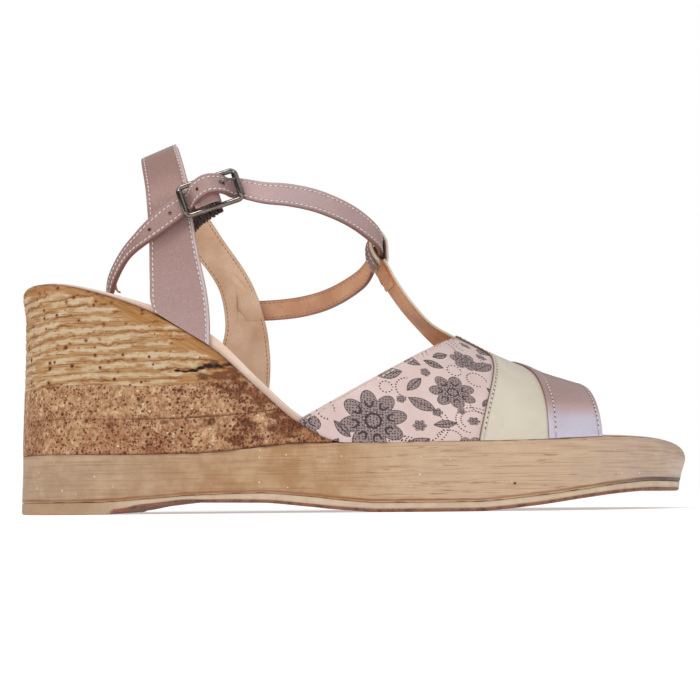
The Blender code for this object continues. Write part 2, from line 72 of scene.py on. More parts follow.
# Side of the sole: x, underside, top of the outsole strip, top of the platform
SOLE = (
    (-125, 0.0, 4.0, 20.7),
    (-90, 0.0, 4.1, 20.4),
    (-84, 0.0, 4.3, 20.3),
    (-72, 1.8, 5.1, 20.3),
    (-55, 3.2, 6.2, 20.5),
    (-33, 3.2, 6.7, 22.3),
    (-18, 2.1, 5.6, 23.5),
    (-4, 0.8, 4.0, 23.5),
    (8, 0.0, 3.1, 23.3),
    (38, 0.0, 3.1, 23.3),
    (58, 1.6, 4.7, 23.6),
    (76, 4.0, 6.9, 24.3),
    (90, 5.6, 8.7, 24.9),
    (104, 6.4, 9.7, 24.7),
    (125, 6.2, 9.5, 23.4),
)
BREAST_X = -84.0
BREAST_STEP = 0.6
BREAST_FADE = 50.0
# Side of the wedge: x, slope under the foot, joint under the bark layer, joint between the cork layers
WEDGE = (
    (-125, 83.4, 43.6, 31.8),
    (-115, 82.7, 44.0, 32.3),
    (-107, 81.6, 44.4, 32.7),
    (-90, 77.5, 44.6, 32.6),
    (-70, 70.0, 43.8, 32.3),
    (-50, 57.6, 45.2, 32.8),
    (-32, 41.3, 46.0, 34.4),
    (-20, 30.9, 46.0, 35.6),
    (-8, 24.4, 46.0, 36.0),
    (0, 22.9, 46.0, 36.0),
)
LOWER_FRONT = -8.0
MIDDLE_FRONT = -25.6
TOP_FRONT = -37.6
JOINT = 0.06
BARK_RIB = 3.3
# Footbed: x, thickness, depth of the cup
FOOTBED = (
    (-125, 0.5, 0.2),
    (-107, 0.6, 0.3),
    (-90, 1.1, 0.8),
    (-75, 1.9, 0.9),
    (-60, 4.3, 0.8),
    (-48, 4.3, 0.6),
    (-32, 3.4, 0.5),
    (-15, 2.8, 0.3),
    (10, 2.0, 0.2),
    (60, 1.2, 0.3),
    (90, 0.5, 0.2),
    (125, 0.4, 0.1),
)
SEAT_GAP = 0.5
INSOLE_INSET = 3.4

# Vamp: x and height of its ridge, then its edges and panels
RIDGE = (
    (-25, 92.0),
    (10, 77.0),
    (25, 70.4),
    (39, 63.6),
    (46, 60.0),
    (53, 56.6),
    (62, 52.6),
    (70, 49.5),
    (78, 47.0),
    (86, 44.6),
)
RIDGE_SHIFT = 3.0
SECTION_POWER = 2.2
MARGIN = 0.5
VAMP_REAR_BASE = -20.0
VAMP_REAR_TOP = 39.2
VAMP_FRONT = 83.4
# Share of the way around the vamp from its base, on either side, and the x of the cream band's rear edge
CREAM_EDGE = (
    (0.0, 41.2),
    (0.09, 44.2),
    (0.175, 46.8),
    (0.26, 48.4),
    (0.315, 48.6),
    (0.35, 47.2),
    (0.368, 43.6),
    (0.382, 38.0),
    (0.41, 32.0),
    (0.5, 30.0),
)
# The same for the toe band
TOE_EDGE = ((0.0, 64.0), (0.12, 64.3), (0.28, 63.4), (0.4, 60.4), (0.455, 58.6), (0.485, 57.9), (0.5, 57.8))
CREAM_OVERHANG = 0.25
# Lap of a panel under the next, and the seams of the toe band from its rear and front edge
PANEL_LAP = 4.0
TOE_SEAM = 2.6
FRONT_SEAM = 1.6
LINING_DEPTH = 1.15
LINING_SHORT = 0.15
BEAD_LIFT = 0.4
BEAD_RADIUS = 0.2
SUNK = 0.6
# Height on the toe band and its share of painted lilac sheen, strongest low down
TOE_PAINTED_SHEEN = ((20, 1.0), (30, 0.95), (34, 0.55), (38, 0.24), (46, 0.14), (60, 0.12))

# Folds of the straps: x, y, z, width and the direction across
TBAR_FLARE = (0.5, -0.87, 0.0)
LOOP_YAW = (0.14, -0.97, 0.18)
TBAR_THICK = 1.4
TBAR = (
    (49.8, 3.0, 53.8, 17, TBAR_FLARE),
    (40.8, 2.6, 59.0, 17, TBAR_FLARE),
    (33.3, 2.0, 63.9, 16, (0.38, -0.92, 0.0)),
    (26.9, 1.0, 69.0, 15, (0.2, -0.98, 0.0)),
    (20.4, 0.0, 76.4, 14, (0.16, -0.97, 0.06)),
    (15.1, -0.8, 84.0, 13, (0.16, -0.97, 0.12)),
    (11.6, -1.4, 90.4, 12.6, LOOP_YAW),
    (10.1, -1.6, 93.0, 12.2, LOOP_YAW),
)
# Rough end of the loop, glued to the inner side of the T-bar
LOOP_END = (
    (8.6, -1.7, 92.8, 10.6, LOOP_YAW),
    (9.7, -1.6, 90.4, 11.2, LOOP_YAW),
    (11.9, -1.4, 86.4, 11.4, LOOP_YAW),
    (13.7, -1.2, 83.2, 10.8, (0.16, -0.97, 0.12)),
)
LOOP = tuple((x, -1.0, z, 11.4, LOOP_YAW) for x, z in (
    (11.7, 92.2), (11.9, 96.0), (11.3, 100.4), (8.8, 103.4), (6.3, 100.4), (6.6, 96.2), (9.3, 92.0)))
LOOP_COVER = tuple((x, -1.6, z, 7.6, LOOP_YAW) for x, z in (
    (8.0, 103.0), (6.6, 100.6), (6.8, 96.2), (8.3, 92.8), (9.3, 90.8)))

BACK_STRAP_THICK = 2.0
LATERAL_FOOT = -60.4
MEDIAL_FOOT = -43.2
FOOT_WIDTH = 22.6
BACK_TILT = (0.91, 0, 0.42)
BACK_STRAP = (
    (-61.7, -31.2, 77, 19.6, (1, 0, 0)),
    (-62.8, -32.2, 87, 17.6, (1, 0, 0.03)),
    (-64.0, -32.6, 98, 15.8, (1, 0, 0.09)),
    (-66.5, -29.5, 115.4, 15.0, (0.98, 0, 0.21)),
    (-70.9, -19, 130.2, 14.2, (0.93, 0, 0.37)),
    (-72.9, -6, 134.6, 13.4, BACK_TILT),
    (-73.2, 8, 131.4, 13.5, BACK_TILT),
    (-69.2, 19, 122.2, 14, BACK_TILT),
    (-59.7, 27, 108.2, 12.9, BACK_TILT),
    (-48.8, 30.2, 92, 13.4, (0.98, 0, 0.2)),
    (-44.2, 30, 76, 16.0, (1, 0, 0)),
    (-43.9, 29.8, 65, 19.2, (1, 0, -0.1)),
)

STRAP_THICK = 1.6
STRAP_WIDTH = 6.8
UPRIGHT = (0, 0, 1)
BUCKLE = np.array((-49.7, -38.6, 110.5))
BUCKLE_TURN = math.radians(18.6)
BUCKLE_ALONG = np.array((math.cos(BUCKLE_TURN), 0, math.sin(BUCKLE_TURN)))
BUCKLE_UP = np.array((-math.sin(BUCKLE_TURN), 0, math.cos(BUCKLE_TURN)))
BUCKLE_OUT = np.array((0, -1, 0))
FRAME_LONG = 20.2
FRAME_SHORT = 10.7
FRAME_CORNER = 1.6
FRAME_WIRE = 0.96
END_WIRE = 1.2
CENTRE_BAR = 0.8
PRONG_WIRE = 0.62
PRONG_UP = 1.5
EYE_RADIUS = 1.75
EYE_DROP = 0.3
# The prong: place along the frame and height over its plane. The strap: along, up and out
PRONG = ((1.9, -0.2), (3.2, 0.6), (4.4, 2.4), (5.0, 3.9), (6.2, 4.1), (9.6, 2.1))
BUCKLE_WEAVE = (
    (10.4, -0.9, -2.6),
    (7.4, -0.2, -1.5),
    (4.4, 1.2, 2.6),
    (0.0, 1.9, 5.0),
    (-4.4, 1.3, 2.8),
    (-7.4, 0.2, -1.5),
    (-10.4, 0.0, -2.6),
)
ANKLE_BEFORE = (
    (-52, 33.0, 81.5, 8.2, UPRIGHT),
    (-38, 33.2, 81.3, 8.2, UPRIGHT),
    (-22, 29.0, 81.9, 8.2, UPRIGHT),
    (-9, 21.5, 84.2, 8.0, UPRIGHT),
    (2.6, 12.0, 89.4, 7.4, UPRIGHT),
    (7.4, 5.4, 94.8, 6.5, UPRIGHT),
    (9.0, -1.0, 97.0, 6.4, UPRIGHT),
    (10.3, -7.4, 98.8, 6.5, UPRIGHT),
    (7.4, -14.0, 101.8, 7.3, UPRIGHT),
    (-1, -21.5, 106.5, 7.8, UPRIGHT),
    (-12, -28.5, 109.8, 8.0, UPRIGHT),
    (-22, -33.5, 110.9, 7.9, UPRIGHT),
    (-31, -36.2, 111.1, 7.5, UPRIGHT),
)
ANKLE_AFTER = (
    (-66, -36.4, 102.2, 7.2, UPRIGHT),
    (-73.6, -35.4, 96.0, 6.0, UPRIGHT),
    (-80.4, -31.0, 90.8, 4.4, (-0.4, 0.2, 0.9)),
    (-85.8, -25.5, 83.8, 4.2, (-0.6, 0.5, 0.5)),
    (-88.0, -21.6, 77.6, 3.8, (-0.6, 0.75, 0.1)),
)
# Leather tab that folds around the centre bar: along, up and out from the buckle's middle
TAB = (
    (-6.5, -0.7, 0.4),
    (-3.6, -0.7, 1.1),
    (-0.6, -0.7, 1.7),
    (1.5, -0.7, 1.4),
    (2.4, -0.7, 0.1),
    (1.5, -0.7, -1.3),
    (-1.0, -0.7, -1.8),
    (-5.5, -0.7, -2.2),
)
TAB_WIDTH = 6.6
# Height on the back strap and its share of painted lilac sheen, strongest low down
BACK_PAINTED_SHEEN = ((60, 0.3), (75, 0.24), (95, 0.15), (115, 0.05), (135, 0.02))
# Curl where the lining has come loose at the end of the ankle strap
TAIL_CURL = (
    (-87.0, -22.0, 83.4, 3.0, (0.0, 1.0, 0.2)),
    (-86.2, -22.0, 81.6, 3.0, (0.0, 1.0, 0.2)),
    (-85.7, -22.0, 80.1, 2.8, (0.0, 1.0, 0.1)),
    (-85.0, -22.0, 79.0, 2.6, (0.0, 1.0, 0.0)),
    (-84.0, -22.0, 78.8, 2.2, (0.0, 1.0, 0.0)),
)
# Soft creases of the back strap: share of its length, place across, lean, length, width and height
BACK_CREASES = (
    (0.842, 4.2, 0.0, 4.4, 4.6, -1.1),
    (0.832, -1.5, -0.22, 4.2, 0.7, 0.8),
    (0.852, -0.6, 0.5, 2.2, 0.7, 0.7),
    (0.868, 3.6, 0.0, 0.9, 4.6, 0.45),
    (0.79, 1.2, 0.35, 5.0, 1.1, -0.35),
    (0.785, 3.2, 0.3, 4.0, 0.8, 0.22),
    (0.91, 3.0, -0.2, 6.0, 2.0, 0.2),
    (0.3, 1.0, 0.0, 4.0, 6.0, 0.25),
)
# Holes through the ankle strap: x of each on its outer run, and their radius
PUNCHED = (-45.3, -53.4, -63.9, -70.8)
PUNCH_RADIUS = 0.62
# Place along the shoe and the ankle strap's share of painted lilac sheen there
ANKLE_PAINTED_SHEEN = (
    (-90, 0.1), (-66, 0.16), (-58, 0.22), (-46, 0.3), (-36, 0.48), (-18, 0.54), (-4, 0.44), (12, 0.34),
)
# Folds of the elastic, and the pitch of its gathers
GATHER_PITCH = 1.5
ELASTIC = (
    (-62.8, -29.2, 98.4, 6.4, (-0.4, 0, 0.9)),
    (-58.8, -29.4, 100.8, 6.4, (-0.4, 0, 0.9)),
    (-55.5, -32.4, 103.3, 6.4, (-0.4, 0, 0.9)),
    (-51.2, -35.6, 105.2, 6.4, (-0.38, 0, 0.9)),
    (-46.6, -36.6, 107.5, 6.2, (-0.33, 0, 0.9)),
)

# Stitches
STITCH_PITCH = 1.85
STITCH_SIZE = (1.5, 0.42, 0.34)
STITCH_EDGE = 1.15
STITCH_SLANT = 0.1
HOLE_SIZE = (0.8, 0.46, 0.3)
HOLE_DEPTH = 0.02

# Camera at the photograph's viewing angle
CAMERA_PLACE = (-0.0016, -0.400, 0.005)
CAMERA_PITCH = math.radians(97.85)
CAMERA_ROLL = math.radians(-0.6)
CAMERA_LENS = 54.98


# Smooth lines through the tables

def through(rows, column, x):
    """Value at x of a smooth line through a table's rows, with slopes that never overshoot."""
    table = np.array(rows, float)
    places, values = table[:, 0], table[:, column]
    x = np.clip(x, places[0], places[-1])
    slopes = np.diff(values) / np.diff(places)
    before, after = slopes[:-1], slopes[1:]
    steady = before * after > 0
    inner = np.where(steady, 2 * before * after / np.where(steady, before + after, 1.0), 0.0)
    tangents = np.concatenate((slopes[:1], inner, slopes[-1:]))
    at = np.clip(np.searchsorted(places, x, side="right") - 1, 0, len(places) - 2)
    gap = places[at + 1] - places[at]
    t = (x - places[at]) / gap
    bend = t * (1 - t) * ((1 - t) * tangents[at] - t * tangents[at + 1])
    ease = t * t * (3 - 2 * t)
    return values[at] + (values[at + 1] - values[at]) * ease + gap * bend


def eased(value, low, high):
    """Smooth step from 0 at low to 1 at high."""
    t = np.clip((value - low) / (high - low), 0.0, 1.0)
    return t * t * (3 - 2 * t)


def at_heel(x):
    """Share of the heel's rounded end at x."""
    return eased(-x, *HEEL_END)


def at_toe(x):
    """Share of the toe's rounded end at x."""
    return eased(x, *TOE_END)


def middle(x):
    return through(PLAN, 1, x)


def half_width(x):
    half = through(PLAN, 2, x)
    heel = np.maximum(0.0, -LENGTH / 2 + HEEL_RADIUS - x) / HEEL_RADIUS
    toe = np.maximum(0.0, x - LENGTH / 2 + TOE_REACH) / TOE_REACH
    return half * np.sqrt(np.maximum(0.0, 1 - heel ** 2)) * np.sqrt(np.maximum(0.0, 1 - toe ** 2))


def ground(x):
    step = np.clip(x - BREAST_X, 0.0, 1.0) * BREAST_STEP
    fade = np.clip((x - BREAST_X - BREAST_FADE / 2) / BREAST_FADE, 0.0, 1.0)
    return through(SOLE, 1, x) + step * (1 - fade)


def strip_top(x):
    return through(SOLE, 2, x)


def deck_top(x):
    return through(SOLE, 3, x)


def slope_top(x):
    return through(WEDGE, 1, x)


def bark_joint(x):
    return through(WEDGE, 2, x)


def cork_joint(x):
    return through(WEDGE, 3, x)


def seat(x):
    return np.where(x < WEDGE[-1][0], np.maximum(slope_top(x), deck_top(x)), deck_top(x))


def insole_top(x):
    return seat(x) + 0.1 + through(FOOTBED, 1, x)


def insole_inset(x):
    return INSOLE_INSET + 2.4 * at_toe(x) + 1.4 * at_heel(x)


def insole_cup(x):
    return through(FOOTBED, 2, x)


def field(places, scale, shift=0.0):
    """Soft random value from -1 to 1 at each place."""
    flat = places.reshape(-1, 3) / np.array(scale) + shift
    return np.array([noise.noise(place) for place in flat]).reshape(places.shape[:-1])


# Meshes

def select_only(*pieces):
    bpy.ops.object.select_all(action="DESELECT")
    for piece in pieces:
        piece.select_set(True)
    bpy.context.view_layer.objects.active = pieces[0]


def lay_grid(name, places, uv=None, **attributes):
    """Grid primitive laid through rows and columns of places, with its own map and values at its points."""
    rows, columns = places.shape[:2]
    bpy.ops.object.select_all(action="DESELECT")
    bpy.ops.mesh.primitive_grid_add(x_subdivisions=columns - 1, y_subdivisions=rows - 1, size=1)
    piece = bpy.context.active_object
    piece.name = name
    mesh = piece.data
    mesh.name = name
    flat = np.empty(len(mesh.vertices) * 3, np.float32)
    mesh.vertices.foreach_get("co", flat)
    flat = flat.reshape(-1, 3)
    column = np.rint((flat[:, 0] + 0.5) * (columns - 1)).astype(int)
    row = np.rint((flat[:, 1] + 0.5) * (rows - 1)).astype(int)
    mesh.vertices.foreach_set("co", (places[row, column] * MM).astype(np.float32).ravel())
    for key, values in attributes.items():
        mesh.attributes.new(key, "FLOAT", "POINT").data.foreach_set(
            "value", values[row, column].astype(np.float32))
    if uv is not None:
        corner = np.empty(len(mesh.loops), np.int32)
        mesh.loops.foreach_get("vertex_index", corner)
        mesh.uv_layers.active.data.foreach_set("uv", uv[row, column][corner].astype(np.float32).ravel())
    mesh.update()
    return piece


def weld(piece):
    """Close the seams of a laid grid and turn its faces outwards."""
    select_only(piece)
    bpy.ops.object.mode_set(mode="EDIT")
    bpy.ops.mesh.select_all(action="SELECT")
    bpy.ops.mesh.remove_doubles(threshold=0.002 * MM)
    bpy.ops.mesh.dissolve_degenerate(threshold=0.001 * MM)
    bpy.ops.mesh.normals_make_consistent(inside=False)
    bpy.ops.object.mode_set(mode="OBJECT")


def change(piece, kind, **settings):
    """Add a modifier to a piece and apply it."""
    select_only(piece)
    modifier = piece.modifiers.new(kind.title(), kind)
    for key, value in settings.items():
        setattr(modifier, key, value)
    bpy.ops.object.modifier_apply(modifier=modifier.name)


def thicken(piece, thick, bevel):
    """Give a laid sheet its thickness, inwards, with rounded edges."""
    change(piece, "SOLIDIFY", thickness=thick * MM, offset=-1.0)
    change(piece, "BEVEL", width=bevel * MM, segments=3, limit_method="ANGLE", angle_limit=math.radians(50))


def finish(piece, material, slot, *nodes):
    """Shade a piece, give it its material and fix it to the shoe."""
    piece.data.materials.clear()
    piece.data.materials.append(material)
    select_only(piece)
    bpy.ops.object.shade_smooth_by_angle(angle=math.radians(40))
    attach(piece, "root")
    if nodes:
        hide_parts(*nodes)
    return piece


# Rounded end of a wire: reach past its end and share of its radius
CAP = np.array(((0.5, 0.87), (0.87, 0.5), (1.0, 0.0)))


def tube(name, points, radii, closed=False, sides=12, normal=None):
    """Round wire along points, with a radius at each and rounded ends."""
    points = np.array(points, float)
    radii = np.broadcast_to(np.asarray(radii, float), len(points)).copy()
    if closed:
        ahead = np.roll(points, -1, 0) - np.roll(points, 1, 0)
    else:
        ahead = np.gradient(points, axis=0)
    ahead /= np.linalg.norm(ahead, axis=1)[:, None]
    up = np.array(normal if normal is not None else (0.0, -1.0, 0.0))
    side = np.cross(ahead, up)
    side /= np.linalg.norm(side, axis=1)[:, None]
    up = np.cross(side, ahead)
    if not closed:
        reach, share = CAP.T
        start = points[0] - ahead[0] * radii[0] * reach[::-1, None]
        end = points[-1] + ahead[-1] * radii[-1] * reach[:, None]
        points = np.concatenate((start, points, end))
        radii = np.concatenate((radii[0] * share[::-1], radii, radii[-1] * share))
        side, up = (np.pad(ways, ((len(CAP), len(CAP)), (0, 0)), "edge") for ways in (side, up))
    turn = np.linspace(0, 2 * math.pi, sides + 1)
    ring = (np.cos(turn)[None, :, None] * side[:, None] + np.sin(turn)[None, :, None] * up[:, None])
    places = points[:, None] + ring * radii[:, None, None]
    if closed:
        places = np.concatenate((places, places[:1]))
    piece = lay_grid(name, places)
    weld(piece)
    return piece


# Shader nodes

def srgb(red, green, blue):
    """Colour from its usual 0 to 255 values."""
    values = [v / 255 for v in (red, green, blue)]
    return (*(v / 12.92 if v <= 0.04045 else ((v + 0.055) / 1.055) ** 2.4 for v in values), 1.0)


def put(tree, kind, sockets=None, **settings):
    """Add a shader node with its settings and inputs."""
    made = tree.nodes.new("ShaderNode" + kind)
    for key, value in settings.items():
        setattr(made, key, value)
    for key, value in (sockets or {}).items():
        if isinstance(value, bpy.types.NodeSocket):
            tree.links.new(value, made.inputs[key])
        else:
            made.inputs[key].default_value = value
    return made


def calc(tree, operation, first, second=0.0, third=0.0):
    return put(tree, "Math", {0: first, 1: second, 2: third}, operation=operation).outputs[0]


def span(tree, value, low, high):
    """Smooth mask that goes from 0 at low to 1 at high."""
    sockets = {"Value": value, "From Min": low, "From Max": high}
    return put(tree, "MapRange", sockets, interpolation_type="SMOOTHSTEP").outputs[0]


def blend(tree, factor, first, second):
    return put(tree, "Mix", {0: factor, 6: first, 7: second}, data_type="RGBA").outputs[2]


def dab(tree, base, mask, share, colour):
    """Base with a colour over it where a mask shows, at a share of its strength."""
    return blend(tree, calc(tree, "MULTIPLY", mask, share), base, colour)


def ramp(tree, value, *stops):
    """Colours along a value: each stop is a place and a colour."""
    made = put(tree, "ValToRGB", {0: value})
    line = made.color_ramp.elements
    while len(line) < len(stops):
        line.new(0.5)
    for element, (at, colour) in zip(line, stops):
        element.position = at
        element.color = colour
    return made.outputs[0]


def place(tree, scale=(1, 1, 1), lean=0.0):
    """Object coordinates in metres, stretched by a scale for each axis and leaning to the toe."""
    start = put(tree, "TexCoord").outputs["Object"]
    return put(tree, "Mapping", {"Vector": start, "Scale": scale, "Rotation": (0, lean, 0)}).outputs[0]


def cloud(tree, vector, scale, detail=3.0, rough=0.55):
    sockets = {"Vector": vector, "Scale": scale, "Detail": detail, "Roughness": rough}
    return put(tree, "TexNoise", sockets).outputs["Fac"]


def cells(tree, vector, scale, **settings):
    return put(tree, "TexVoronoi", {"Vector": vector, "Scale": scale}, **settings).outputs["Distance"]


def stored_value(tree, name):
    """Value stored at the piece's own points."""
    return put(tree, "Attribute", attribute_name=name).outputs["Fac"]


def relief(tree, height, distance):
    return put(tree, "Bump", {"Height": height, "Distance": distance * MM, "Strength": 1.0}).outputs[0]


def start_group(name, inputs, outputs):
    """Empty node group with its named sockets: (tree, inputs, outputs)."""
    tree = bpy.data.node_groups.new(name, "ShaderNodeTree")
    for key, kind, value in inputs:
        socket = tree.interface.new_socket(name=key, in_out="INPUT", socket_type="NodeSocket" + kind)
        socket.default_value = value
    for key, kind in outputs:
        tree.interface.new_socket(name=key, in_out="OUTPUT", socket_type="NodeSocket" + kind)
    return tree, tree.nodes.new("NodeGroupInput").outputs, tree.nodes.new("NodeGroupOutput").inputs


def start_material(name, roughness, metallic=0.0, **sockets):
    """Material with its Principled shader: (material, tree, shader)."""
    material = bpy.data.materials.new(name)
    material.use_nodes = True
    shader = material.node_tree.nodes["Principled BSDF"]
    shader.inputs["Roughness"].default_value = roughness
    shader.inputs["Metallic"].default_value = metallic
    for key, value in sockets.items():
        shader.inputs[key.replace("_", " ")].default_value = value
    return material, material.node_tree, shader


def link(tree, shader, **sockets):
    for key, value in sockets.items():
        tree.links.new(value, shader.inputs[key.replace("_", " ")])


def specks_group():
    """Scattered small marks: size in metres, share of the cells that have one."""
    tree, into, out = start_group(
        "scattered_specks",
        (("Vector", "Vector", (0, 0, 0)), ("Spacing", "Float", 0.002), ("Size", "Float", 0.3),
         ("Share", "Float", 0.5)),
        (("Mask", "Float"),))
    scale = calc(tree, "DIVIDE", 1.0, into["Spacing"])
    spots = put(tree, "TexVoronoi", {"Vector": into["Vector"], "Scale": scale})
    pick = put(tree, "SeparateColor", {0: spots.outputs["Color"]})
    chosen = calc(tree, "LESS_THAN", pick.outputs[0], into["Share"])
    ragged = cloud(tree, into["Vector"], 2600.0, 1.0)
    size = calc(tree, "MULTIPLY", into["Size"], calc(tree, "ADD", pick.outputs[1], 0.35))
    size = calc(tree, "MULTIPLY", size, calc(tree, "ADD", ragged, 0.5))
    edge = calc(tree, "MULTIPLY", size, 0.6)
    shape = put(tree, "MapRange", {
        "Value": spots.outputs["Distance"], "From Min": edge, "From Max": size,
        "To Min": 1.0, "To Max": 0.0}, interpolation_type="SMOOTHSTEP").outputs[0]
    tree.links.new(calc(tree, "MULTIPLY", shape, chosen), out["Mask"])
    return tree


# Shift of the leather's pebbles, in metres
GRAIN_WARP = (0.0005, 0.0005, 0.0005)


def grain_group():
    """Fine pebbled leather grain: its height and its soft changes of shade."""
    tree, into, out = start_group(
        "leather_grain",
        (("Vector", "Vector", (0, 0, 0)), ("Pebble", "Float", 0.0006)),
        (("Height", "Float"), ("Shade", "Float")))
    scale = calc(tree, "DIVIDE", 1.0, into["Pebble"])
    warp = put(tree, "TexNoise", {"Vector": into["Vector"], "Scale": 900.0, "Detail": 2.0})
    moved = put(tree, "VectorMath", {0: warp.outputs["Color"], 1: GRAIN_WARP}, operation="MULTIPLY")
    vector = put(tree, "VectorMath", {0: into["Vector"], 1: moved.outputs[0]}, operation="ADD").outputs[0]
    crack = cells(tree, vector, scale, feature="DISTANCE_TO_EDGE")
    pebble = span(tree, crack, 0.0, 0.22)
    fine = cloud(tree, into["Vector"], 4200.0, 2.0)
    tree.links.new(calc(tree, "ADD", pebble, calc(tree, "MULTIPLY", fine, 0.35)), out["Height"])
    tree.links.new(cloud(tree, into["Vector"], 70.0, 4.0), out["Shade"])
    return tree


def streaks_group():
    """Streaks that run level around the sole: fine lines and their broad changes."""
    tree, into, out = start_group(
        "level_streaks",
        (("Vector", "Vector", (0, 0, 0)), ("Length", "Float", 0.02), ("Height", "Float", 0.0005)),
        (("Fine", "Float"), ("Broad", "Float")))
    along = calc(tree, "DIVIDE", 1.0, into["Length"])
    upward = calc(tree, "DIVIDE", 1.0, into["Height"])
    scale = put(tree, "CombineXYZ", {0: along, 1: along, 2: upward}).outputs[0]
    vector = put(tree, "VectorMath", {0: into["Vector"], 1: scale}, operation="MULTIPLY").outputs[0]
    tree.links.new(cloud(tree, vector, 1.0, 4.0, 0.6), out["Fine"])
    tree.links.new(cloud(tree, vector, 0.22, 2.0), out["Broad"])
    return tree


SPECKS = specks_group()
GRAIN = grain_group()
STREAKS = streaks_group()


def specks(tree, vector, spacing, size, share):
    sockets = {"Vector": vector, "Spacing": spacing * MM, "Size": size, "Share": share}
    return put(tree, "Group", sockets, node_tree=SPECKS).outputs["Mask"]


def streaks(tree, length, height, lean=0.0):
    sockets = {"Vector": place(tree, lean=lean), "Length": length * MM, "Height": height * MM}
    return put(tree, "Group", sockets, node_tree=STREAKS).outputs


def grain(tree, pebble):
    sockets = {"Vector": place(tree), "Pebble": pebble * MM}
    return put(tree, "Group", sockets, node_tree=GRAIN).outputs


# Materials of the sole

def bark_material():
    """Golden grain with broken rows of cream patches, dark lines and pits."""
    material, tree, shader = start_material("ribbed_bark", 0.6, Specular_IOR_Level=0.25)
    flat = place(tree)
    gold = stored_value(tree, "gold")
    level = streaks(tree, 10.0, 0.45)["Fine"]
    slanted = streaks(tree, 16.0, 0.8, -0.5)["Fine"]
    streak = calc(tree, "ADD", level, calc(tree, "MULTIPLY", gold, calc(tree, "SUBTRACT", slanted, level)))
    ragged = cloud(tree, place(tree, (300, 300, 480)), 1.0, 4.0, 0.6)
    torn = cloud(tree, place(tree, (600, 600, 1500)), 1.0, 3.0, 0.6)
    rib = calc(tree, "ADD", stored_value(tree, "rib"), calc(tree, "MULTIPLY_ADD", ragged, 1.1, -0.55))
    near = calc(tree, "PINGPONG", rib, 0.5)
    base = ramp(tree, streak, (0.34, srgb(192, 158, 116)), (0.5, srgb(174, 132, 87)),
                (0.66, srgb(140, 94, 54)))
    base = dab(tree, base, gold, 0.55, srgb(160, 106, 46))
    broken = calc(tree, "MULTIPLY_ADD", gold, -0.2, cloud(tree, place(tree, (105, 105, 300)), 1.0, 3.0))
    inner = calc(tree, "ADD", near, calc(tree, "MULTIPLY_ADD", torn, 0.4, -0.2))
    pale = calc(tree, "MULTIPLY", span(tree, inner, 0.16, 0.34), span(tree, broken, 0.37, 0.49))
    cream = blend(tree, span(tree, level, 0.36, 0.64), srgb(202, 181, 151), srgb(188, 159, 124))
    base = blend(tree, pale, base, cream)
    bold = span(tree, cloud(tree, place(tree, (110, 110, 300)), 1.0, 2.0), 0.46, 0.6)
    line = calc(tree, "SUBTRACT", 1.0, span(tree, near, 0.02, 0.11))
    base = dab(tree, base, line, calc(tree, "MULTIPLY_ADD", bold, 0.7, 0.1), srgb(112, 58, 28))
    halo = specks(tree, flat, 2.7, 0.42, 0.6)
    pits = specks(tree, flat, 2.7, 0.22, 0.6)
    base = dab(tree, base, halo, 0.75, srgb(140, 82, 44))
    base = blend(tree, pits, base, srgb(80, 38, 20))
    base = dab(tree, base, stored_value(tree, "rim"), 0.75, srgb(112, 64, 26))
    base = blend(tree, stored_value(tree, "scorch"), base, srgb(96, 50, 28))
    base = blend(tree, stored_value(tree, "burn"), base, srgb(34, 15, 9))
    height = calc(tree, "ADD", calc(tree, "MULTIPLY", pale, 0.5), calc(tree, "SUBTRACT", torn, streak))
    link(tree, shader, Base_Color=base, Normal=relief(tree, calc(tree, "SUBTRACT", height, pits), 0.25),
         Roughness=span(tree, streak, -0.6, 1.6))
    return material


# Cork specks: spacing, size, share of places where they are few, what is added where they are dense,
# and colour
CORK_SPECKS = (
    (0.7, 0.44, 0.14, 0.75, (128, 68, 36)),
    (1.0, 0.44, 0.12, 0.85, (108, 50, 24)),
    (1.5, 0.38, 0.03, 0.75, (80, 34, 16)),
)


def cork_material(name, red):
    """Cork look; red says how far its ground goes from tan to red brown."""
    material, tree, shader = start_material(name, 0.68, Specular_IOR_Level=0.25)
    flat = place(tree)
    patches = cloud(tree, flat, 110.0, 3.0)
    fine = cloud(tree, place(tree, (1.0, 1.0, 0.7)), 1000.0, 3.0, 0.6)
    coarse = cloud(tree, flat, 420.0, 3.0, 0.6)
    tone = calc(tree, "MULTIPLY_ADD", coarse, 0.5, calc(tree, "MULTIPLY", fine, 0.5))
    base = ramp(tree, tone, (0.38, srgb(138, 92, 62)), (0.48, srgb(168, 128, 94)),
                (0.56, srgb(188, 151, 115)), (0.66, srgb(214, 186, 150)))
    crowded = stored_value(tree, "dense")
    redder = calc(tree, "MULTIPLY_ADD", crowded, 0.3, red)
    base = dab(tree, base, span(tree, patches, 0.35, 0.7), redder, srgb(146, 94, 62))
    dense = calc(tree, "MULTIPLY", crowded, span(tree, patches, 0.3, 0.6))
    pale = specks(tree, place(tree, (1, 1, 1.4)), 2.1, 0.28, 0.3)
    base = dab(tree, base, pale, 0.7, srgb(226, 202, 168))
    pits = pale
    for spacing, size, few, more, colour in CORK_SPECKS:
        marks = specks(tree, flat, spacing, size, calc(tree, "MULTIPLY_ADD", dense, more, few))
        base = dab(tree, base, marks, 0.9, srgb(*colour))
        pits = calc(tree, "MAXIMUM", pits, marks)
    burnt = blend(tree, span(tree, fine, 0.38, 0.62), srgb(72, 32, 18), srgb(126, 72, 42))
    base = blend(tree, stored_value(tree, "burn"), base, burnt)
    base = blend(tree, stored_value(tree, "joint"), base, srgb(92, 42, 20))
    link(tree, shader, Base_Color=base, Normal=relief(tree, calc(tree, "SUBTRACT", fine, pits), 0.2))
    return material


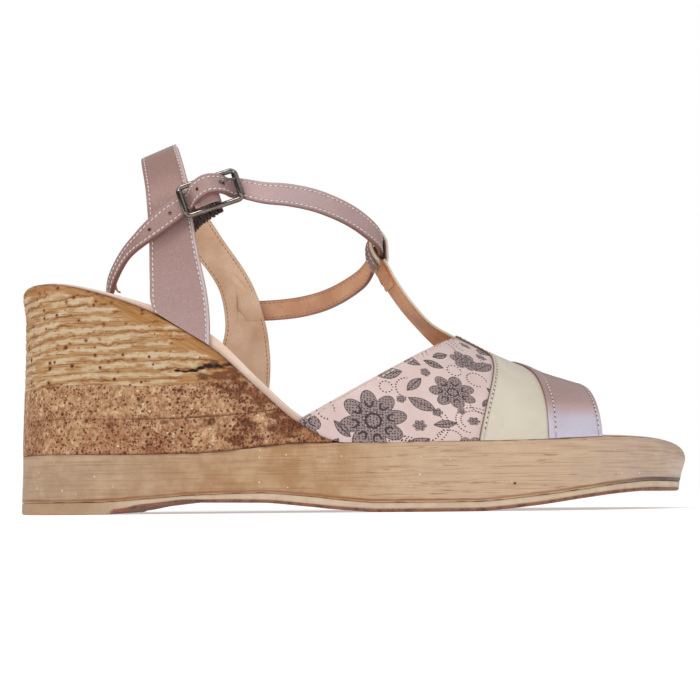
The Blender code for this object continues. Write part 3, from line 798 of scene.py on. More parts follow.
def pale_wood_material():
    material, tree, shader = start_material("pale_wood", 0.5)
    flat = place(tree)
    lines = streaks(tree, 22.0, 0.6)
    dashes = streaks(tree, 8.0, 0.6)
    mottled = cloud(tree, flat, 130.0, 4.0, 0.6)
    along = put(tree, "SeparateXYZ", {0: flat}).outputs[0]
    base = blend(tree, span(tree, along, -0.1, -0.03), srgb(164, 136, 110), srgb(166, 126, 86))
    base = blend(tree, span(tree, along, -0.02, 0.03), base, srgb(191, 163, 136))
    base = blend(tree, span(tree, along, 0.06, 0.1), base, srgb(184, 160, 144))
    base = dab(tree, base, span(tree, mottled, 0.35, 0.7), 0.45, srgb(204, 178, 146))
    base = dab(tree, base, span(tree, lines["Fine"], 0.44, 0.7), 0.5, srgb(146, 102, 66))
    some = calc(tree, "MULTIPLY", span(tree, along, -0.05, -0.01), span(tree, dashes["Broad"], 0.46, 0.58))
    brown = calc(tree, "MULTIPLY_ADD", some, 0.75, 0.1)
    base = dab(tree, base, span(tree, dashes["Fine"], 0.56, 0.7), brown, srgb(136, 82, 46))
    white = specks(tree, flat, 3.0, 0.12, 0.45)
    black = specks(tree, flat, 13.0, 0.05, 0.3)
    base = dab(tree, base, white, 0.7, srgb(230, 212, 188))
    base = blend(tree, black, base, srgb(52, 38, 30))
    base = blend(tree, stored_value(tree, "stain"), base, srgb(140, 84, 42))
    # Dark lines along the platform, partly painted shade: under the upper at the deck's top and in the toe's
    # groove
    base = blend(tree, stored_value(tree, "joint"), base, srgb(70, 40, 24))
    link(tree, shader, Base_Color=base, Normal=relief(tree, lines["Fine"], 0.1),
         Roughness=span(tree, mottled, -0.9, 1.9))
    return material


def outsole_material():
    material, tree, shader = start_material("outsole_rubber", 0.6)
    flat = place(tree)
    mottled = cloud(tree, flat, 160.0, 4.0, 0.6)
    marks = streaks(tree, 4.5, 0.4)
    along = put(tree, "SeparateXYZ", {0: flat}).outputs[0]
    pale = blend(tree, span(tree, along, -0.095, -0.07), srgb(172, 142, 112), srgb(206, 186, 160))
    base = blend(tree, span(tree, mottled, 0.35, 0.7), blend(tree, 0.25, pale, srgb(140, 104, 74)), pale)
    dirt = specks(tree, flat, 1.6, 0.22, 0.22)
    base = dab(tree, base, dirt, 0.5, srgb(120, 90, 66))
    grainy = cloud(tree, place(tree, (300, 900, 300)), 1.0, 4.0, 0.65)
    brown = blend(tree, span(tree, grainy, 0.4, 0.68), srgb(136, 86, 66), srgb(84, 46, 34))
    base = blend(tree, stored_value(tree, "under"), base, brown)
    height = calc(tree, "MULTIPLY", calc(tree, "ADD", grainy, marks["Fine"]), 0.5)
    link(tree, shader, Base_Color=base, Normal=relief(tree, height, 0.3))
    return material


def lining_leather_material(name, light, shade, nap=0.45):
    """Leather of the insole and linings; nap says how far its rough fibres show."""
    material, tree, shader = start_material(name, 0.62, Sheen_Weight=0.15, Sheen_Roughness=0.5)
    skin = grain(tree, 0.55)
    fibres = cloud(tree, place(tree), 1500.0, 3.0, 0.7)
    base = blend(tree, span(tree, skin["Shade"], 0.25, 0.75), shade, light)
    base = dab(tree, base, span(tree, fibres, 0.45, 0.75), nap, shade)
    # Darker where the stored edge value is high: cut edges, the insole's foot and painted shade in strap
    # linings' creases
    base = blend(tree, stored_value(tree, "edge"), base, srgb(140, 84, 62))
    link(tree, shader, Base_Color=base, Normal=relief(tree, fibres, 0.1))
    return material


# Materials of the upper

def mauve_material():
    """Pearly metallic leather, from brown mauve to lilac by its stored share of pearl and painted sheen."""
    material, tree, shader = start_material(
        "mauve_pearl_leather", 0.42, 0.2, Coat_Weight=0.15, Coat_Roughness=0.35)
    skin = grain(tree, 0.5)
    # Pearl tint with painted sheen: lilac where the stored share is high, brown mauve where it is low
    base = ramp(tree, stored_value(tree, "pearl"), (0.0, srgb(135, 98, 87)), (0.15, srgb(156, 123, 118)),
                (0.5, srgb(185, 157, 156)), (1.0, srgb(200, 195, 212)))
    base = dab(tree, base, span(tree, skin["Shade"], 0.35, 0.75), 0.12, srgb(136, 104, 100))
    glitter = cloud(tree, place(tree), 3200.0, 1.0)
    base = dab(tree, base, span(tree, glitter, 0.52, 0.7), 0.22, srgb(222, 204, 204))
    # Painted shade in the pressed stitch grooves
    base = dab(tree, base, stored_value(tree, "seam"), 0.5, srgb(104, 76, 74))
    base = blend(tree, stored_value(tree, "edge"), base, srgb(108, 68, 66))
    rough = calc(tree, "ADD", 0.34, calc(tree, "MULTIPLY", skin["Shade"], 0.16))
    link(tree, shader, Base_Color=base, Roughness=rough, Normal=relief(tree, skin["Height"], 0.03))
    return material


def cream_material():
    material, tree, shader = start_material("cream_leather", 0.45, Coat_Weight=0.1, Coat_Roughness=0.4)
    skin = grain(tree, 0.45)
    base = blend(tree, span(tree, skin["Shade"], 0.2, 0.8), srgb(200, 190, 172), srgb(212, 203, 186))
    # Painted shade in the pressed stitch grooves
    base = dab(tree, base, stored_value(tree, "seam"), 0.7, srgb(104, 92, 82))
    base = blend(tree, stored_value(tree, "edge"), base, srgb(112, 84, 66))
    rough = calc(tree, "ADD", 0.38, calc(tree, "MULTIPLY", skin["Shade"], 0.2))
    link(tree, shader, Base_Color=base, Roughness=rough, Normal=relief(tree, skin["Height"], 0.025))
    return material


# The print: a repeat of daisies, leaves and dotted sprays, in millimetres of the panel's own map
REPEAT = (52.0, 44.0)
# Daisies and buds: middle, turn, radius and number of petals
DAISIES = ((6.0, -27.0, 0.2, 11.5, 8.0), (33.0, -12.0, 0.5, 8.0, 7.0), (38.0, -38.0, 0.0, 5.0, 6.0))
# Leaves: middle, turn, length and width
LEAVES = (
    (20.0, -36.5, 0.5, 11.0, 5.2), (22.5, -19.5, -0.5, 10.5, 4.8), (-7.5, -16.0, 0.9, 10.0, 4.6),
    (46.0, -24.0, 1.2, 9.5, 4.4), (30.0, -27.5, 0.15, 8.0, 3.4), (12.0, -8.0, 0.4, 9.0, 4.0),
    (47.5, -8.5, -0.7, 7.5, 3.2), (27.0, -44.5, -0.2, 7.0, 3.0), (20.0, -11.0, 0.9, 8.0, 3.4),
    (18.5, -1.0, -0.3, 8.5, 3.4), (44.5, -14.5, 1.0, 6.5, 2.8), (29.5, -39.5, 0.6, 6.4, 2.8),
)
# Dotted sprays: middle, radius, start and reach of the arc, number of dots
SPRAYS = (
    (22.0, -28.0, 7.5, -2.6, 3.4, 22.0), (22.0, -28.0, 9.2, -2.5, 3.0, 24.0),
    (40.0, -25.0, 6.5, 0.6, 3.8, 22.0), (40.0, -25.0, 4.8, 0.9, 3.0, 14.0),
    (14.0, -44.0, 10.0, 0.2, 2.2, 20.0), (14.0, -44.0, 11.6, 0.3, 2.0, 21.0),
    (-2.0, -8.0, 7.0, 3.4, 2.9, 19.0), (44.0, -16.0, 5.5, 3.0, 3.2, 16.0),
    (18.0, -13.0, 4.2, 1.6, 3.4, 13.0), (31.0, -34.5, 4.4, -0.6, 3.2, 14.0),
    (4.0, -2.0, 5.0, 0.4, 4.6, 20.0), (4.0, -2.0, 3.2, 0.8, 3.6, 12.0), (41.5, -3.0, 3.4, 0.0, 5.0, 16.0),
    (34.0, -1.0, 2.4, 0.0, 5.8, 12.0), (10.5, -13.5, 2.2, 0.0, 5.8, 11.0),
)
BUDS = ((27.5, -22.5, 0.0, 1.9, 5.0), (15.5, -18.0, 0.0, 1.7, 5.0), (44.5, -31.0, 0.0, 2.0, 5.0),
        (24.0, -5.0, 0.0, 1.8, 5.0), (-3.0, -40.0, 0.0, 1.9, 5.0), (35.5, -21.0, 0.0, 1.5, 5.0),
        (39.5, -25.5, 0.0, 2.2, 6.0), (21.5, -28.5, 0.0, 2.4, 6.0), (51.0, -33.0, 0.0, 2.2, 6.0),
        (12.0, -40.0, 0.0, 2.0, 6.0), (4.0, -2.0, 0.0, 1.6, 5.0))


# Inputs of every motif
PLACED = (
    ("Map", "Vector", (0, 0, 0)), ("Across", "Float", 0.0), ("Up", "Float", 0.0), ("Turn", "Float", 0.0),
)


def repeat_group():
    """Place in a motif's own frame, in a half-drop repeat."""
    tree, into, out = start_group("half_drop_repeat", PLACED, (("X", "Float"), ("Y", "Float")))
    map_x, map_y = put(tree, "SeparateXYZ", {0: into["Map"]}).outputs[:2]
    x = calc(tree, "SUBTRACT", map_x, into["Across"])
    column = calc(tree, "ROUND", calc(tree, "DIVIDE", x, REPEAT[0]))
    x = calc(tree, "SUBTRACT", x, calc(tree, "MULTIPLY", column, REPEAT[0]))
    y = calc(tree, "SUBTRACT", map_y, into["Up"])
    y = calc(tree, "SUBTRACT", y, calc(tree, "MULTIPLY", column, REPEAT[1] / 2))
    y = calc(tree, "WRAP", y, REPEAT[1] / 2, -REPEAT[1] / 2)
    cosine, sine = calc(tree, "COSINE", into["Turn"]), calc(tree, "SINE", into["Turn"])
    turned_x = calc(tree, "ADD", calc(tree, "MULTIPLY", x, cosine), calc(tree, "MULTIPLY", y, sine))
    turned_y = calc(tree, "SUBTRACT", calc(tree, "MULTIPLY", y, cosine), calc(tree, "MULTIPLY", x, sine))
    tree.links.new(turned_x, out["X"])
    tree.links.new(turned_y, out["Y"])
    return tree


def local(tree, into, repeat):
    sockets = {key: into[key] for key, _, _ in PLACED}
    made = put(tree, "Group", sockets, node_tree=repeat)
    return made.outputs["X"], made.outputs["Y"]


def daisy_group(repeat):
    """Ring of oval petals around a heart."""
    tree, into, out = start_group(
        "dotted_daisy", PLACED + (("Radius", "Float", 10.0), ("Petals", "Float", 8.0)),
        (("Fill", "Float"), ("Line", "Float")))
    x, y = local(tree, into, repeat)
    away = calc(tree, "SQRT", calc(tree, "ADD", calc(tree, "MULTIPLY", x, x), calc(tree, "MULTIPLY", y, y)))
    away = calc(tree, "DIVIDE", away, into["Radius"])
    sector = calc(tree, "DIVIDE", math.pi, into["Petals"])
    turn = calc(tree, "WRAP", calc(tree, "ARCTAN2", y, x), sector, calc(tree, "MULTIPLY", sector, -1.0))
    along = calc(tree, "MULTIPLY", away, calc(tree, "COSINE", turn))
    aside = calc(tree, "MULTIPLY", away, calc(tree, "SINE", turn))
    reach = calc(tree, "DIVIDE", calc(tree, "SUBTRACT", along, 0.62), 0.38)
    wide = calc(tree, "MULTIPLY", calc(tree, "TANGENT", sector), 0.6)
    lean = calc(tree, "DIVIDE", aside, wide)
    shape = calc(tree, "ADD", calc(tree, "MULTIPLY", reach, reach), calc(tree, "MULTIPLY", lean, lean))
    petal = calc(tree, "LESS_THAN", shape, 1.0)
    heart = calc(tree, "LESS_THAN", away, 0.2)
    rib = calc(tree, "LESS_THAN", calc(tree, "ABSOLUTE", calc(tree, "SUBTRACT", shape, 0.22)), 0.1)
    ring = calc(tree, "LESS_THAN", calc(tree, "ABSOLUTE", calc(tree, "SUBTRACT", away, 0.225)), 0.035)
    rim = calc(tree, "LESS_THAN", calc(tree, "ABSOLUTE", calc(tree, "SUBTRACT", shape, 0.92)), 0.1)
    inked = calc(tree, "MAXIMUM", ring, calc(tree, "MULTIPLY", rib, calc(tree, "LESS_THAN", away, 0.64)))
    tree.links.new(calc(tree, "MAXIMUM", petal, heart), out["Fill"])
    tree.links.new(calc(tree, "MAXIMUM", inked, calc(tree, "MULTIPLY", rim, 0.6)), out["Line"])
    return tree


def leaf_group(repeat):
    """Pointed leaf with a middle rib."""
    tree, into, out = start_group(
        "dotted_leaf", PLACED + (("Length", "Float", 9.0), ("Width", "Float", 4.0)),
        (("Fill", "Float"), ("Line", "Float")))
    x, y = local(tree, into, repeat)
    along = calc(tree, "DIVIDE", calc(tree, "MULTIPLY", x, 2.0), into["Length"])
    half = calc(tree, "SUBTRACT", 1.0, calc(tree, "MULTIPLY", along, along))
    half = calc(tree, "MULTIPLY", calc(tree, "MULTIPLY", half, into["Width"]), 0.5)
    inside = calc(tree, "SUBTRACT", half, calc(tree, "ABSOLUTE", y))
    fill = calc(tree, "GREATER_THAN", inside, 0.0)
    rim = calc(tree, "LESS_THAN", calc(tree, "ABSOLUTE", calc(tree, "SUBTRACT", inside, 0.12)), 0.2)
    rib = calc(tree, "MULTIPLY", calc(tree, "LESS_THAN", calc(tree, "ABSOLUTE", y), 0.16), fill)
    tree.links.new(fill, out["Fill"])
    tree.links.new(calc(tree, "MAXIMUM", calc(tree, "MULTIPLY", rim, 0.7), rib), out["Line"])
    return tree


def spray_group(repeat):
    """Row of dots along an arc that starts in the motif's own direction."""
    tree, into, out = start_group(
        "dotted_spray", PLACED + (("Radius", "Float", 8.0), ("Reach", "Float", 3.0), ("Dots", "Float", 16.0)),
        (("Mask", "Float"),))
    x, y = local(tree, into, repeat)
    away = calc(tree, "SQRT", calc(tree, "ADD", calc(tree, "MULTIPLY", x, x), calc(tree, "MULTIPLY", y, y)))
    turn = calc(tree, "WRAP", calc(tree, "ARCTAN2", y, x), 2 * math.pi, 0.0)
    step = calc(tree, "DIVIDE", into["Reach"], into["Dots"])
    count = calc(tree, "ROUND", calc(tree, "DIVIDE", turn, step))
    aside = calc(tree, "MULTIPLY", calc(tree, "SUBTRACT", turn, calc(tree, "MULTIPLY", count, step)), away)
    off = calc(tree, "SUBTRACT", away, into["Radius"])
    gap = calc(tree, "ADD", calc(tree, "MULTIPLY", aside, aside), calc(tree, "MULTIPLY", off, off))
    dot = calc(tree, "LESS_THAN", gap, 0.3 ** 2)
    near = calc(tree, "LESS_THAN", count, calc(tree, "ADD", into["Dots"], 0.5))
    tree.links.new(calc(tree, "MULTIPLY", dot, near), out["Mask"])
    return tree


def motif_masks(tree, mapped):
    """Masks of the print: grey fills, dark lines and loose dots."""
    repeat = repeat_group()
    daisy, leaf, spray = daisy_group(repeat), leaf_group(repeat), spray_group(repeat)

    def motif(group, across, up, turn, **sizes):
        sockets = {"Map": mapped, "Across": across, "Up": up, "Turn": turn, **sizes}
        return put(tree, "Group", sockets, node_tree=group).outputs

    fill, line, dots = 0.0, 0.0, 0.0
    shapes = [motif(daisy, *spot, Radius=radius, Petals=petals) for *spot, radius, petals in DAISIES + BUDS]
    shapes += [motif(leaf, *spot, Length=length, Width=width) for *spot, length, width in LEAVES]
    for shape in shapes:
        fill = calc(tree, "MAXIMUM", fill, shape["Fill"])
        line = calc(tree, "MAXIMUM", line, shape["Line"])
    for across, up, radius, turn, reach, number in SPRAYS:
        shape = motif(spray, across, up, turn, Radius=radius, Reach=reach, Dots=number)
        dots = calc(tree, "MAXIMUM", dots, shape["Mask"])
    return fill, line, dots


def print_material():
    """Pale pink leather with a dotted flower print."""
    material, tree, shader = start_material("printed_pink_leather", 0.5)
    mapped = put(tree, "UVMap", uv_map="UVMap").outputs[0]
    skin = grain(tree, 0.45)
    fill, line, dots = motif_masks(tree, mapped)
    stipple = put(tree, "TexVoronoi", {"Vector": mapped, "Scale": 1.0, "Randomness": 0.45},
                  voronoi_dimensions="2D").outputs["Distance"]
    stipple = calc(tree, "LESS_THAN", stipple, 0.27)
    base = blend(tree, span(tree, skin["Shade"], 0.2, 0.8), srgb(206, 181, 177), srgb(218, 196, 192))
    base = blend(tree, fill, base, srgb(146, 127, 125))
    base = dab(tree, base, stipple, fill, srgb(54, 42, 44))
    base = blend(tree, line, base, srgb(56, 42, 48))
    loose = calc(tree, "MULTIPLY", dots, calc(tree, "SUBTRACT", 1.0, fill))
    base = blend(tree, loose, base, srgb(66, 52, 54))
    # Painted shade in the pressed stitch groove
    base = dab(tree, base, stored_value(tree, "seam"), 0.5, srgb(178, 138, 132))
    base = blend(tree, stored_value(tree, "edge"), base, srgb(196, 166, 158))
    link(tree, shader, Base_Color=base, Normal=relief(tree, skin["Height"], 0.025))
    return material


# Materials of the trimmings

def thread_material(name, light, shade):
    material, tree, shader = start_material(name, 0.75, Sheen_Weight=0.2)
    twist = cloud(tree, place(tree), 2600.0, 2.0)
    link(tree, shader, Base_Color=blend(tree, span(tree, twist, 0.35, 0.65), shade, light),
         Normal=relief(tree, twist, 0.08))
    return material


def gunmetal_material():
    material, tree, shader = start_material("gunmetal", 0.24, 1.0)
    brushed = cloud(tree, place(tree, (500, 500, 2600)), 1.0, 3.0)
    base = blend(tree, span(tree, brushed, 0.3, 0.7), srgb(104, 97, 92), srgb(132, 124, 118))
    rough = calc(tree, "ADD", 0.1, calc(tree, "MULTIPLY", brushed, 0.14))
    link(tree, shader, Base_Color=base, Roughness=rough, Normal=relief(tree, brushed, 0.01))
    return material


def elastic_material():
    material, tree, shader = start_material("brown_elastic", 0.38, Sheen_Weight=0.3, Sheen_Roughness=0.3)
    mapped = put(tree, "UVMap", uv_map="UVMap").outputs[0]
    ribs = put(tree, "TexWave", {"Vector": mapped, "Scale": 0.55, "Distortion": 1.4, "Detail": 1.0},
               bands_direction="Y").outputs["Fac"]
    link(tree, shader, Base_Color=blend(tree, ribs, srgb(30, 18, 16), srgb(78, 54, 48)),
         Normal=relief(tree, ribs, 0.2))
    return material


# The sole

def stations(front=None, step=0.7):
    """Places along the sole, evenly spaced around its outer edge."""
    reach = LENGTH / 2 if front is None else front
    fine = -LENGTH / 2 * np.cos(np.linspace(0, math.pi, 4000))
    fine = np.append(fine[fine < reach], reach)
    edge = np.stack((fine, middle(fine) - half_width(fine)), 1)
    run = np.concatenate(([0], np.cumsum(np.linalg.norm(np.diff(edge, axis=0), axis=1))))
    even = np.linspace(0, run[-1], int(run[-1] / step) + 1)
    return np.interp(even, run, fine)


def end_tuck(x, height):
    """How far heel and toe draw in towards the ground, less their bulge higher up."""
    heel = through(HEEL_INSET, 1, height)
    toe = TOE_TUCK * (1 - eased(height, 4.0, 18.0)) - TOE_BULGE * eased(height, 12.0, 19.0)
    return heel * at_heel(x) + toe * at_toe(x)


class Outline:
    """Loop around a sole layer, from the inner side over the heel to the outer side and back."""

    def __init__(self, front=None, step=0.7):
        x = stations(front, step)
        self.whole = front is None
        self.sides = [np.stack((x, middle(x) + side * half_width(x)), 1) for side in (-1, 1)]
        self.inward = [self.inwards(0), self.inwards(1)]
        self.start = int(np.searchsorted(x, 0.0)) if self.whole else len(x) - 1

    def inwards(self, which):
        own, other = self.sides[which], self.sides[1 - which]
        after = other[-2:-1] if self.whole else 2 * own[-1:] - own[-2:-1]
        line = np.concatenate((other[1:2], own, after))
        ahead = line[2:] - line[:-2]
        ahead /= np.linalg.norm(ahead, axis=1)[:, None]
        turn = 1 if which == 0 else -1
        return np.stack((-ahead[:, 1], ahead[:, 0]), 1) * turn

    def join(self, outer, inner):
        """One closed row from the values at the two sides."""
        parts = [inner[self.start::-1], outer[1:]]
        if self.whole:
            parts.append(inner[-2:self.start - 1:-1])
        else:
            parts.append(inner[self.start:])
        return np.concatenate(parts)

    def row(self, inset, height, draw=0.0):
        """Places at an inset from the leaning wall, drawn to the middle line by a share."""
        moved = []
        for side, inward in zip(self.sides, self.inward):
            move = (inset(side[:, 0]) if callable(inset) else inset) + SIDE_LEAN * height(side[:, 0])
            move = move + end_tuck(side[:, 0], height(side[:, 0]))
            moved.append(side + inward * move[:, None])
        centre = (moved[0] + moved[1]) / 2
        flat = [side + (centre - side) * draw for side in moved]
        solid = [np.column_stack((side, height(side[:, 0]))) for side in flat]
        return self.join(*solid)


def raised(height, rise):
    return lambda x: height(x) + rise


def between(low, high, share):
    return lambda x: low(x) + (high(x) - low(x)) * share


def lower_of(first, second):
    return lambda x: np.minimum(first(x), second(x))


def lid(outline, inset, height, shares):
    return [outline.row(inset, height, share) for share in shares]


def arc_rows(outline, height, size, steps, upward=True):
    """Rounded edge from the wall to a lid, a quarter turn of a size that may change along the sole."""
    reach = size if callable(size) else lambda x: size
    rows = []
    for turn in np.linspace(0, math.pi / 2, steps):
        near, far = 1 - math.cos(turn), 1 - math.sin(turn)
        if upward:
            rows.append(outline.row(lambda x: reach(x) * near, lambda x: height(x) - reach(x) * far))
        else:
            rows.append(outline.row(lambda x: reach(x) * far, lambda x: height(x) + reach(x) * near))
    return rows


def outward_of(places):
    """Level outward direction of a layer's wall, from its rows."""
    ahead = np.roll(places, -1, 1) - np.roll(places, 1, 1)
    out = np.stack((ahead[..., 1], -ahead[..., 0], np.zeros(ahead.shape[:2])), -1)
    return out / np.maximum(np.linalg.norm(out, axis=-1), 1e-6)[..., None]


# Rows of a lid, as shares of the way from its rim to the middle line, and finer ones for the underside
LID = (1.0, 0.75, 0.5, 0.25)
UNDERSIDE = (1.0, 0.9, 0.8, 0.7, 0.6, 0.5, 0.4, 0.3, 0.2, 0.12, 0.06, 0.02)
# Rows up the wall of the outsole strip
STRIP_WALL = (0.3, 0.38, 0.5, 0.65, 0.8, 0.9)
# Groove over the outsole strip: inset and height of each row
GROOVE = (
    (0.45, 0.05), (0.2, 0.2), (0.05, 0.4), (0.0, 0.65), (0.0, 0.9), (0.0, 1.2), (0.0, 1.5), (0.0, 1.8),
    (0.0, 2.1), (0.0, 2.5),
)
# Insets of the rows that lead down into the footbed's hollow, and the rows across it
CUP_SIDE = (2.0, 3.5, 5.0, 7.0, 9.0, 11.0)
CUP_FLOOR = (0.1, 0.2, 0.35, 0.5, 0.65, 0.8, 0.9, 1.0)


def make_outsole(material):
    outline = Outline(step=0.9)
    edge = 0.8
    under = lid(outline, edge, ground, UNDERSIDE)
    wall = arc_rows(outline, ground, edge, 5, upward=False)
    wall += [outline.row(0.0, between(ground, strip_top, share)) for share in STRIP_WALL]
    wall += arc_rows(outline, strip_top, 0.35, 4)
    rows = np.array(under + wall + lid(outline, 0.6, strip_top, LID[::-1]))
    hidden = np.zeros(rows.shape[:2])
    hidden[:len(under) + 2] = 1.0
    rise = rows[..., 2] - ground(rows[..., 0])
    tread_edge = (1 - eased(rise, 1.05, 1.35)) * eased(rows[..., 0], BREAST_X - 1.0, BREAST_X + 1.0)
    hidden = np.maximum(hidden, tread_edge)
    tread = field(rows, (3.0, 1.6, 3.0)) * 0.5 + 0.5
    rows[:len(under), :, 2] += 0.12 * tread[:len(under)]
    piece = lay_grid("outsole_sole", rows, under=hidden)
    weld(piece)
    return finish(piece, material, "outsole", "outsole")


def make_platform(material):
    outline = Outline(step=0.8)
    edge = lambda x: 0.2 + 0.5 * eased(x, -22.0, 0.0) + 4.8 * at_toe(x)
    wall_top = lambda x: deck_top(x) - edge(x)
    rows = lid(outline, 0.6, raised(strip_top, 0.05), LID)
    rows += [outline.row(inset, raised(strip_top, rise)) for inset, rise in GROOVE]
    low = raised(strip_top, GROOVE[-1][1])
    rows += [outline.row(0.0, between(low, wall_top, share)) for share in np.linspace(0, 1, 18)[1:-1]]
    rows += arc_rows(outline, deck_top, edge, 7)
    top = lambda x: edge(x) + 0.1
    rows += [outline.row(top, deck_top, share) for share in (0.02, 0.06) + LID[::-1]]
    rows = np.array(rows)
    rise = rows[..., 2] - strip_top(rows[..., 0])
    drop = deck_top(rows[..., 0]) - rows[..., 2]
    rough = field(rows, (14.0, 14.0, 3.5))
    fine = field(rows, (5.0, 5.0, 1.5), 7.0)
    bumps = (0.1 * rough + 0.05 * fine) * eased(rise, 1.0, 2.0)
    bumps[-len(LID):] = 0.0
    rows += outward_of(rows) * bumps[..., None]
    toe = eased(rows[..., 0], 70.0, 115.0)
    stain = eased(rise, 0.45, 0.75) * (1 - eased(rise + 0.25 * fine, 0.95, 1.5))
    stain *= (0.8 + 0.2 * eased(rough, -0.3, 0.3)) * (1 - 0.7 * toe)
    ragged = field(rows, (4.0, 4.0, 1.0), 13.0)
    # Dark line at the deck's top, partly painted shade where the upper and insole sit on it
    joint = (1 - eased(drop + 0.45 * ragged, 0.1, 0.45)) * (0.3 + 0.3 * eased(rows[..., 0], -75.0, -45.0))
    # At the toe, painted shade of the groove over the strip
    joint = np.maximum(joint, toe * (1 - eased(rise, 1.1, 1.7)))
    dashes = eased(ragged, 0.05, 0.3) * (1 - eased(rise, 0.25, 0.5))
    piece = lay_grid("platform_band", rows, stain=stain, joint=np.maximum(joint, 0.8 * dashes))
    weld(piece)
    return finish(piece, material, "platform", "platform")


def burns(rows, spots, soft):
    """Dark ragged patches on the outer side: x, z, length and height of each."""
    ragged = field(rows, (3.2, 3.2, 1.4), 3.0) + 0.5 * field(rows, (1.1, 1.1, 0.7), 5.0)
    value = np.zeros(rows.shape[:2])
    for x, z, long_side, high in spots:
        away = ((rows[..., 0] - x) / long_side) ** 2 + ((rows[..., 2] - z) / high) ** 2
        value = np.maximum(value, eased(1.0 - away + soft * ragged, 0.2, 0.75))
    return value * (rows[..., 1] < 0)


# Dark patches of the cork layers: x, z, length and height
LOWER_BURNS = (
    (-84, 30.4, 3.0, 1.6), (-41, 24.9, 4.0, 2.0), (-33.5, 25.4, 2.8, 1.6), (-23.5, 28.6, 7.5, 4.6),
    (-27.5, 33.2, 4.0, 2.2), (-66, 31.2, 2.4, 1.2), (-50, 31.4, 2.6, 1.3), (-36.0, 29.6, 5.5, 2.8),
)
MIDDLE_BURNS = (
    (-47.5, 43.8, 5.5, 1.5), (-39.5, 42.2, 8.0, 4.4), (-33.5, 38.4, 6.0, 3.2), (-60, 42.2, 2.8, 1.2),
)
# Place along the cork layers and how thickly their flecks lie there
LOWER_DENSE = ((-125, 0.75), (-95, 0.6), (-80, 0.45), (-66, 1.0), (-40, 1.0), (-25, 0.85), (0, 0.7))
MIDDLE_DENSE = ((-125, 0.65), (-100, 0.45), (-84, 0.15), (-72, 0.25), (-60, 0.65), (-35, 0.9), (0, 0.8))


def make_cork_layer(name, front, floor, ceiling, material, spots, thick, node):
    """Layer of the wedge with a cork look, pitted on its wall."""
    outline = Outline(front, 0.6)
    top = lower_of(ceiling, slope_top)
    rows = lid(outline, 0.0, floor, LID)
    rows += [outline.row(0.0, between(floor, top, share)) for share in np.linspace(0, 1, 26)]
    rows += lid(outline, 0.0, top, LID[::-1])
    rows = np.array(rows)
    pits = np.maximum(0.0, field(rows, 0.9) - 0.15) + 0.6 * np.maximum(0.0, field(rows, 2.2, 9.0) - 0.2)
    low, high = floor(rows[..., 0]), top(rows[..., 0])
    walls = eased(rows[..., 2] - low, 0.0, 0.5) * eased(high - rows[..., 2], 0.0, 0.5)
    rows -= outward_of(rows) * (0.5 * pits * walls)[..., None]
    rows[:, -1] = rows[:, 0]
    ragged = field(rows, (6.0, 6.0, 2.0), 2.0)
    joint = 1 - eased(rows[..., 2] - low + 0.3 * ragged, 0.25, 0.7)
    joint *= 0.5 + 0.5 * eased(rows[..., 0], -90.0, -65.0)
    cut = 0.6 * (1 - eased(slope_top(rows[..., 0]) - rows[..., 2] + 0.3 * ragged, 0.1, 1.4))
    dense = through(thick, 1, rows[..., 0])
    burn = 0.88 * burns(rows, spots, 0.9)
    piece = lay_grid(name, rows, burn=burn, dense=dense, joint=np.maximum(0.8 * joint, cut))
    weld(piece)
    return finish(piece, material, "cork", node)


# Cracks and scorched patches of the bark layer: x, z, length and height
CRACKS = (
    (-61.5, 49.1, 1.5, 0.55), (-59, 48.8, 2.3, 0.6), (-56.2, 49.1, 2.5, 0.75), (-53.5, 50.0, 2.5, 0.75),
    (-50.5, 50.5, 2.7, 0.95), (-47.5, 50.6, 2.9, 1.15), (-44.5, 51.0, 2.8, 1.1),
)
SCORCHES = (
    (-46, 47.2, 8.0, 2.2), (-53, 46.8, 3.4, 1.3), (-47.5, 50.4, 6.0, 2.1), (-41.5, 48.6, 4.0, 2.4),
)


def make_bark_layer(material):
    """Top layer of the wedge, with wavy level ribs."""
    outline = Outline(TOP_FRONT, 0.45)
    floor = raised(bark_joint, JOINT)
    edge = lambda x: 3.2 + at_heel(x)
    ceiling = lambda x: np.maximum(slope_top(x), floor(x) + 0.4)
    shoulder = lambda x: np.maximum(ceiling(x) - edge(x), floor(x) + 0.2)
    rows = lid(outline, 0.0, floor, LID)
    rows += [outline.row(0.0, between(floor, shoulder, share)) for share in np.linspace(0, 1, 130)]
    for turn in np.linspace(0, math.pi / 2, 11)[1:]:
        near = 1 - math.cos(turn)
        rows.append(outline.row(lambda x: edge(x) * near, between(shoulder, ceiling, math.sin(turn))))
    rows += lid(outline, edge, ceiling, LID[::-1])
    rows = np.array(rows)
    x, z = rows[..., 0], rows[..., 2]
    warp = 1.5 * field(rows, (40.0, 40.0, 14.0)) + 0.6 * field(rows, (12.0, 12.0, 4.0), 4.0)
    rib = (z + warp + 3.0 * eased(-x, 95.0, 123.0)) / BARK_RIB
    near = np.abs(rib - np.rint(rib))
    ragged = field(rows, (3.0, 3.0, 1.4), 11.0)
    drop = slope_top(x) - z
    reach = 4.5 + 7.0 * eased(x, -100.0, -62.0)
    gold = 1 - eased(drop + 3.0 * field(rows, (12.0, 12.0, 5.0), 2.0), 0.3 * reach, reach)
    gold = np.maximum(gold, 0.7 * eased(x, -70.0, -45.0))
    wall = eased(z - floor(x), 0.0, 0.6) * eased(drop, 0.3, 2.5)
    crack = burns(rows, CRACKS, 0.5)
    depth = (0.3 * (1 - 2 * near) ** 4 + 0.14 * ragged + 0.5 * crack) * wall
    rows -= outward_of(rows) * depth[..., None]
    rim = 1 - eased(drop + 0.5 * ragged, 0.3, 1.4)
    piece = lay_grid("wedge_bark", rows, rib=rib, gold=gold, rim=rim, burn=crack,
                     scorch=0.82 * burns(rows, SCORCHES, 1.2))
    weld(piece)
    return finish(piece, material, "bark", "wedge_top_layer")


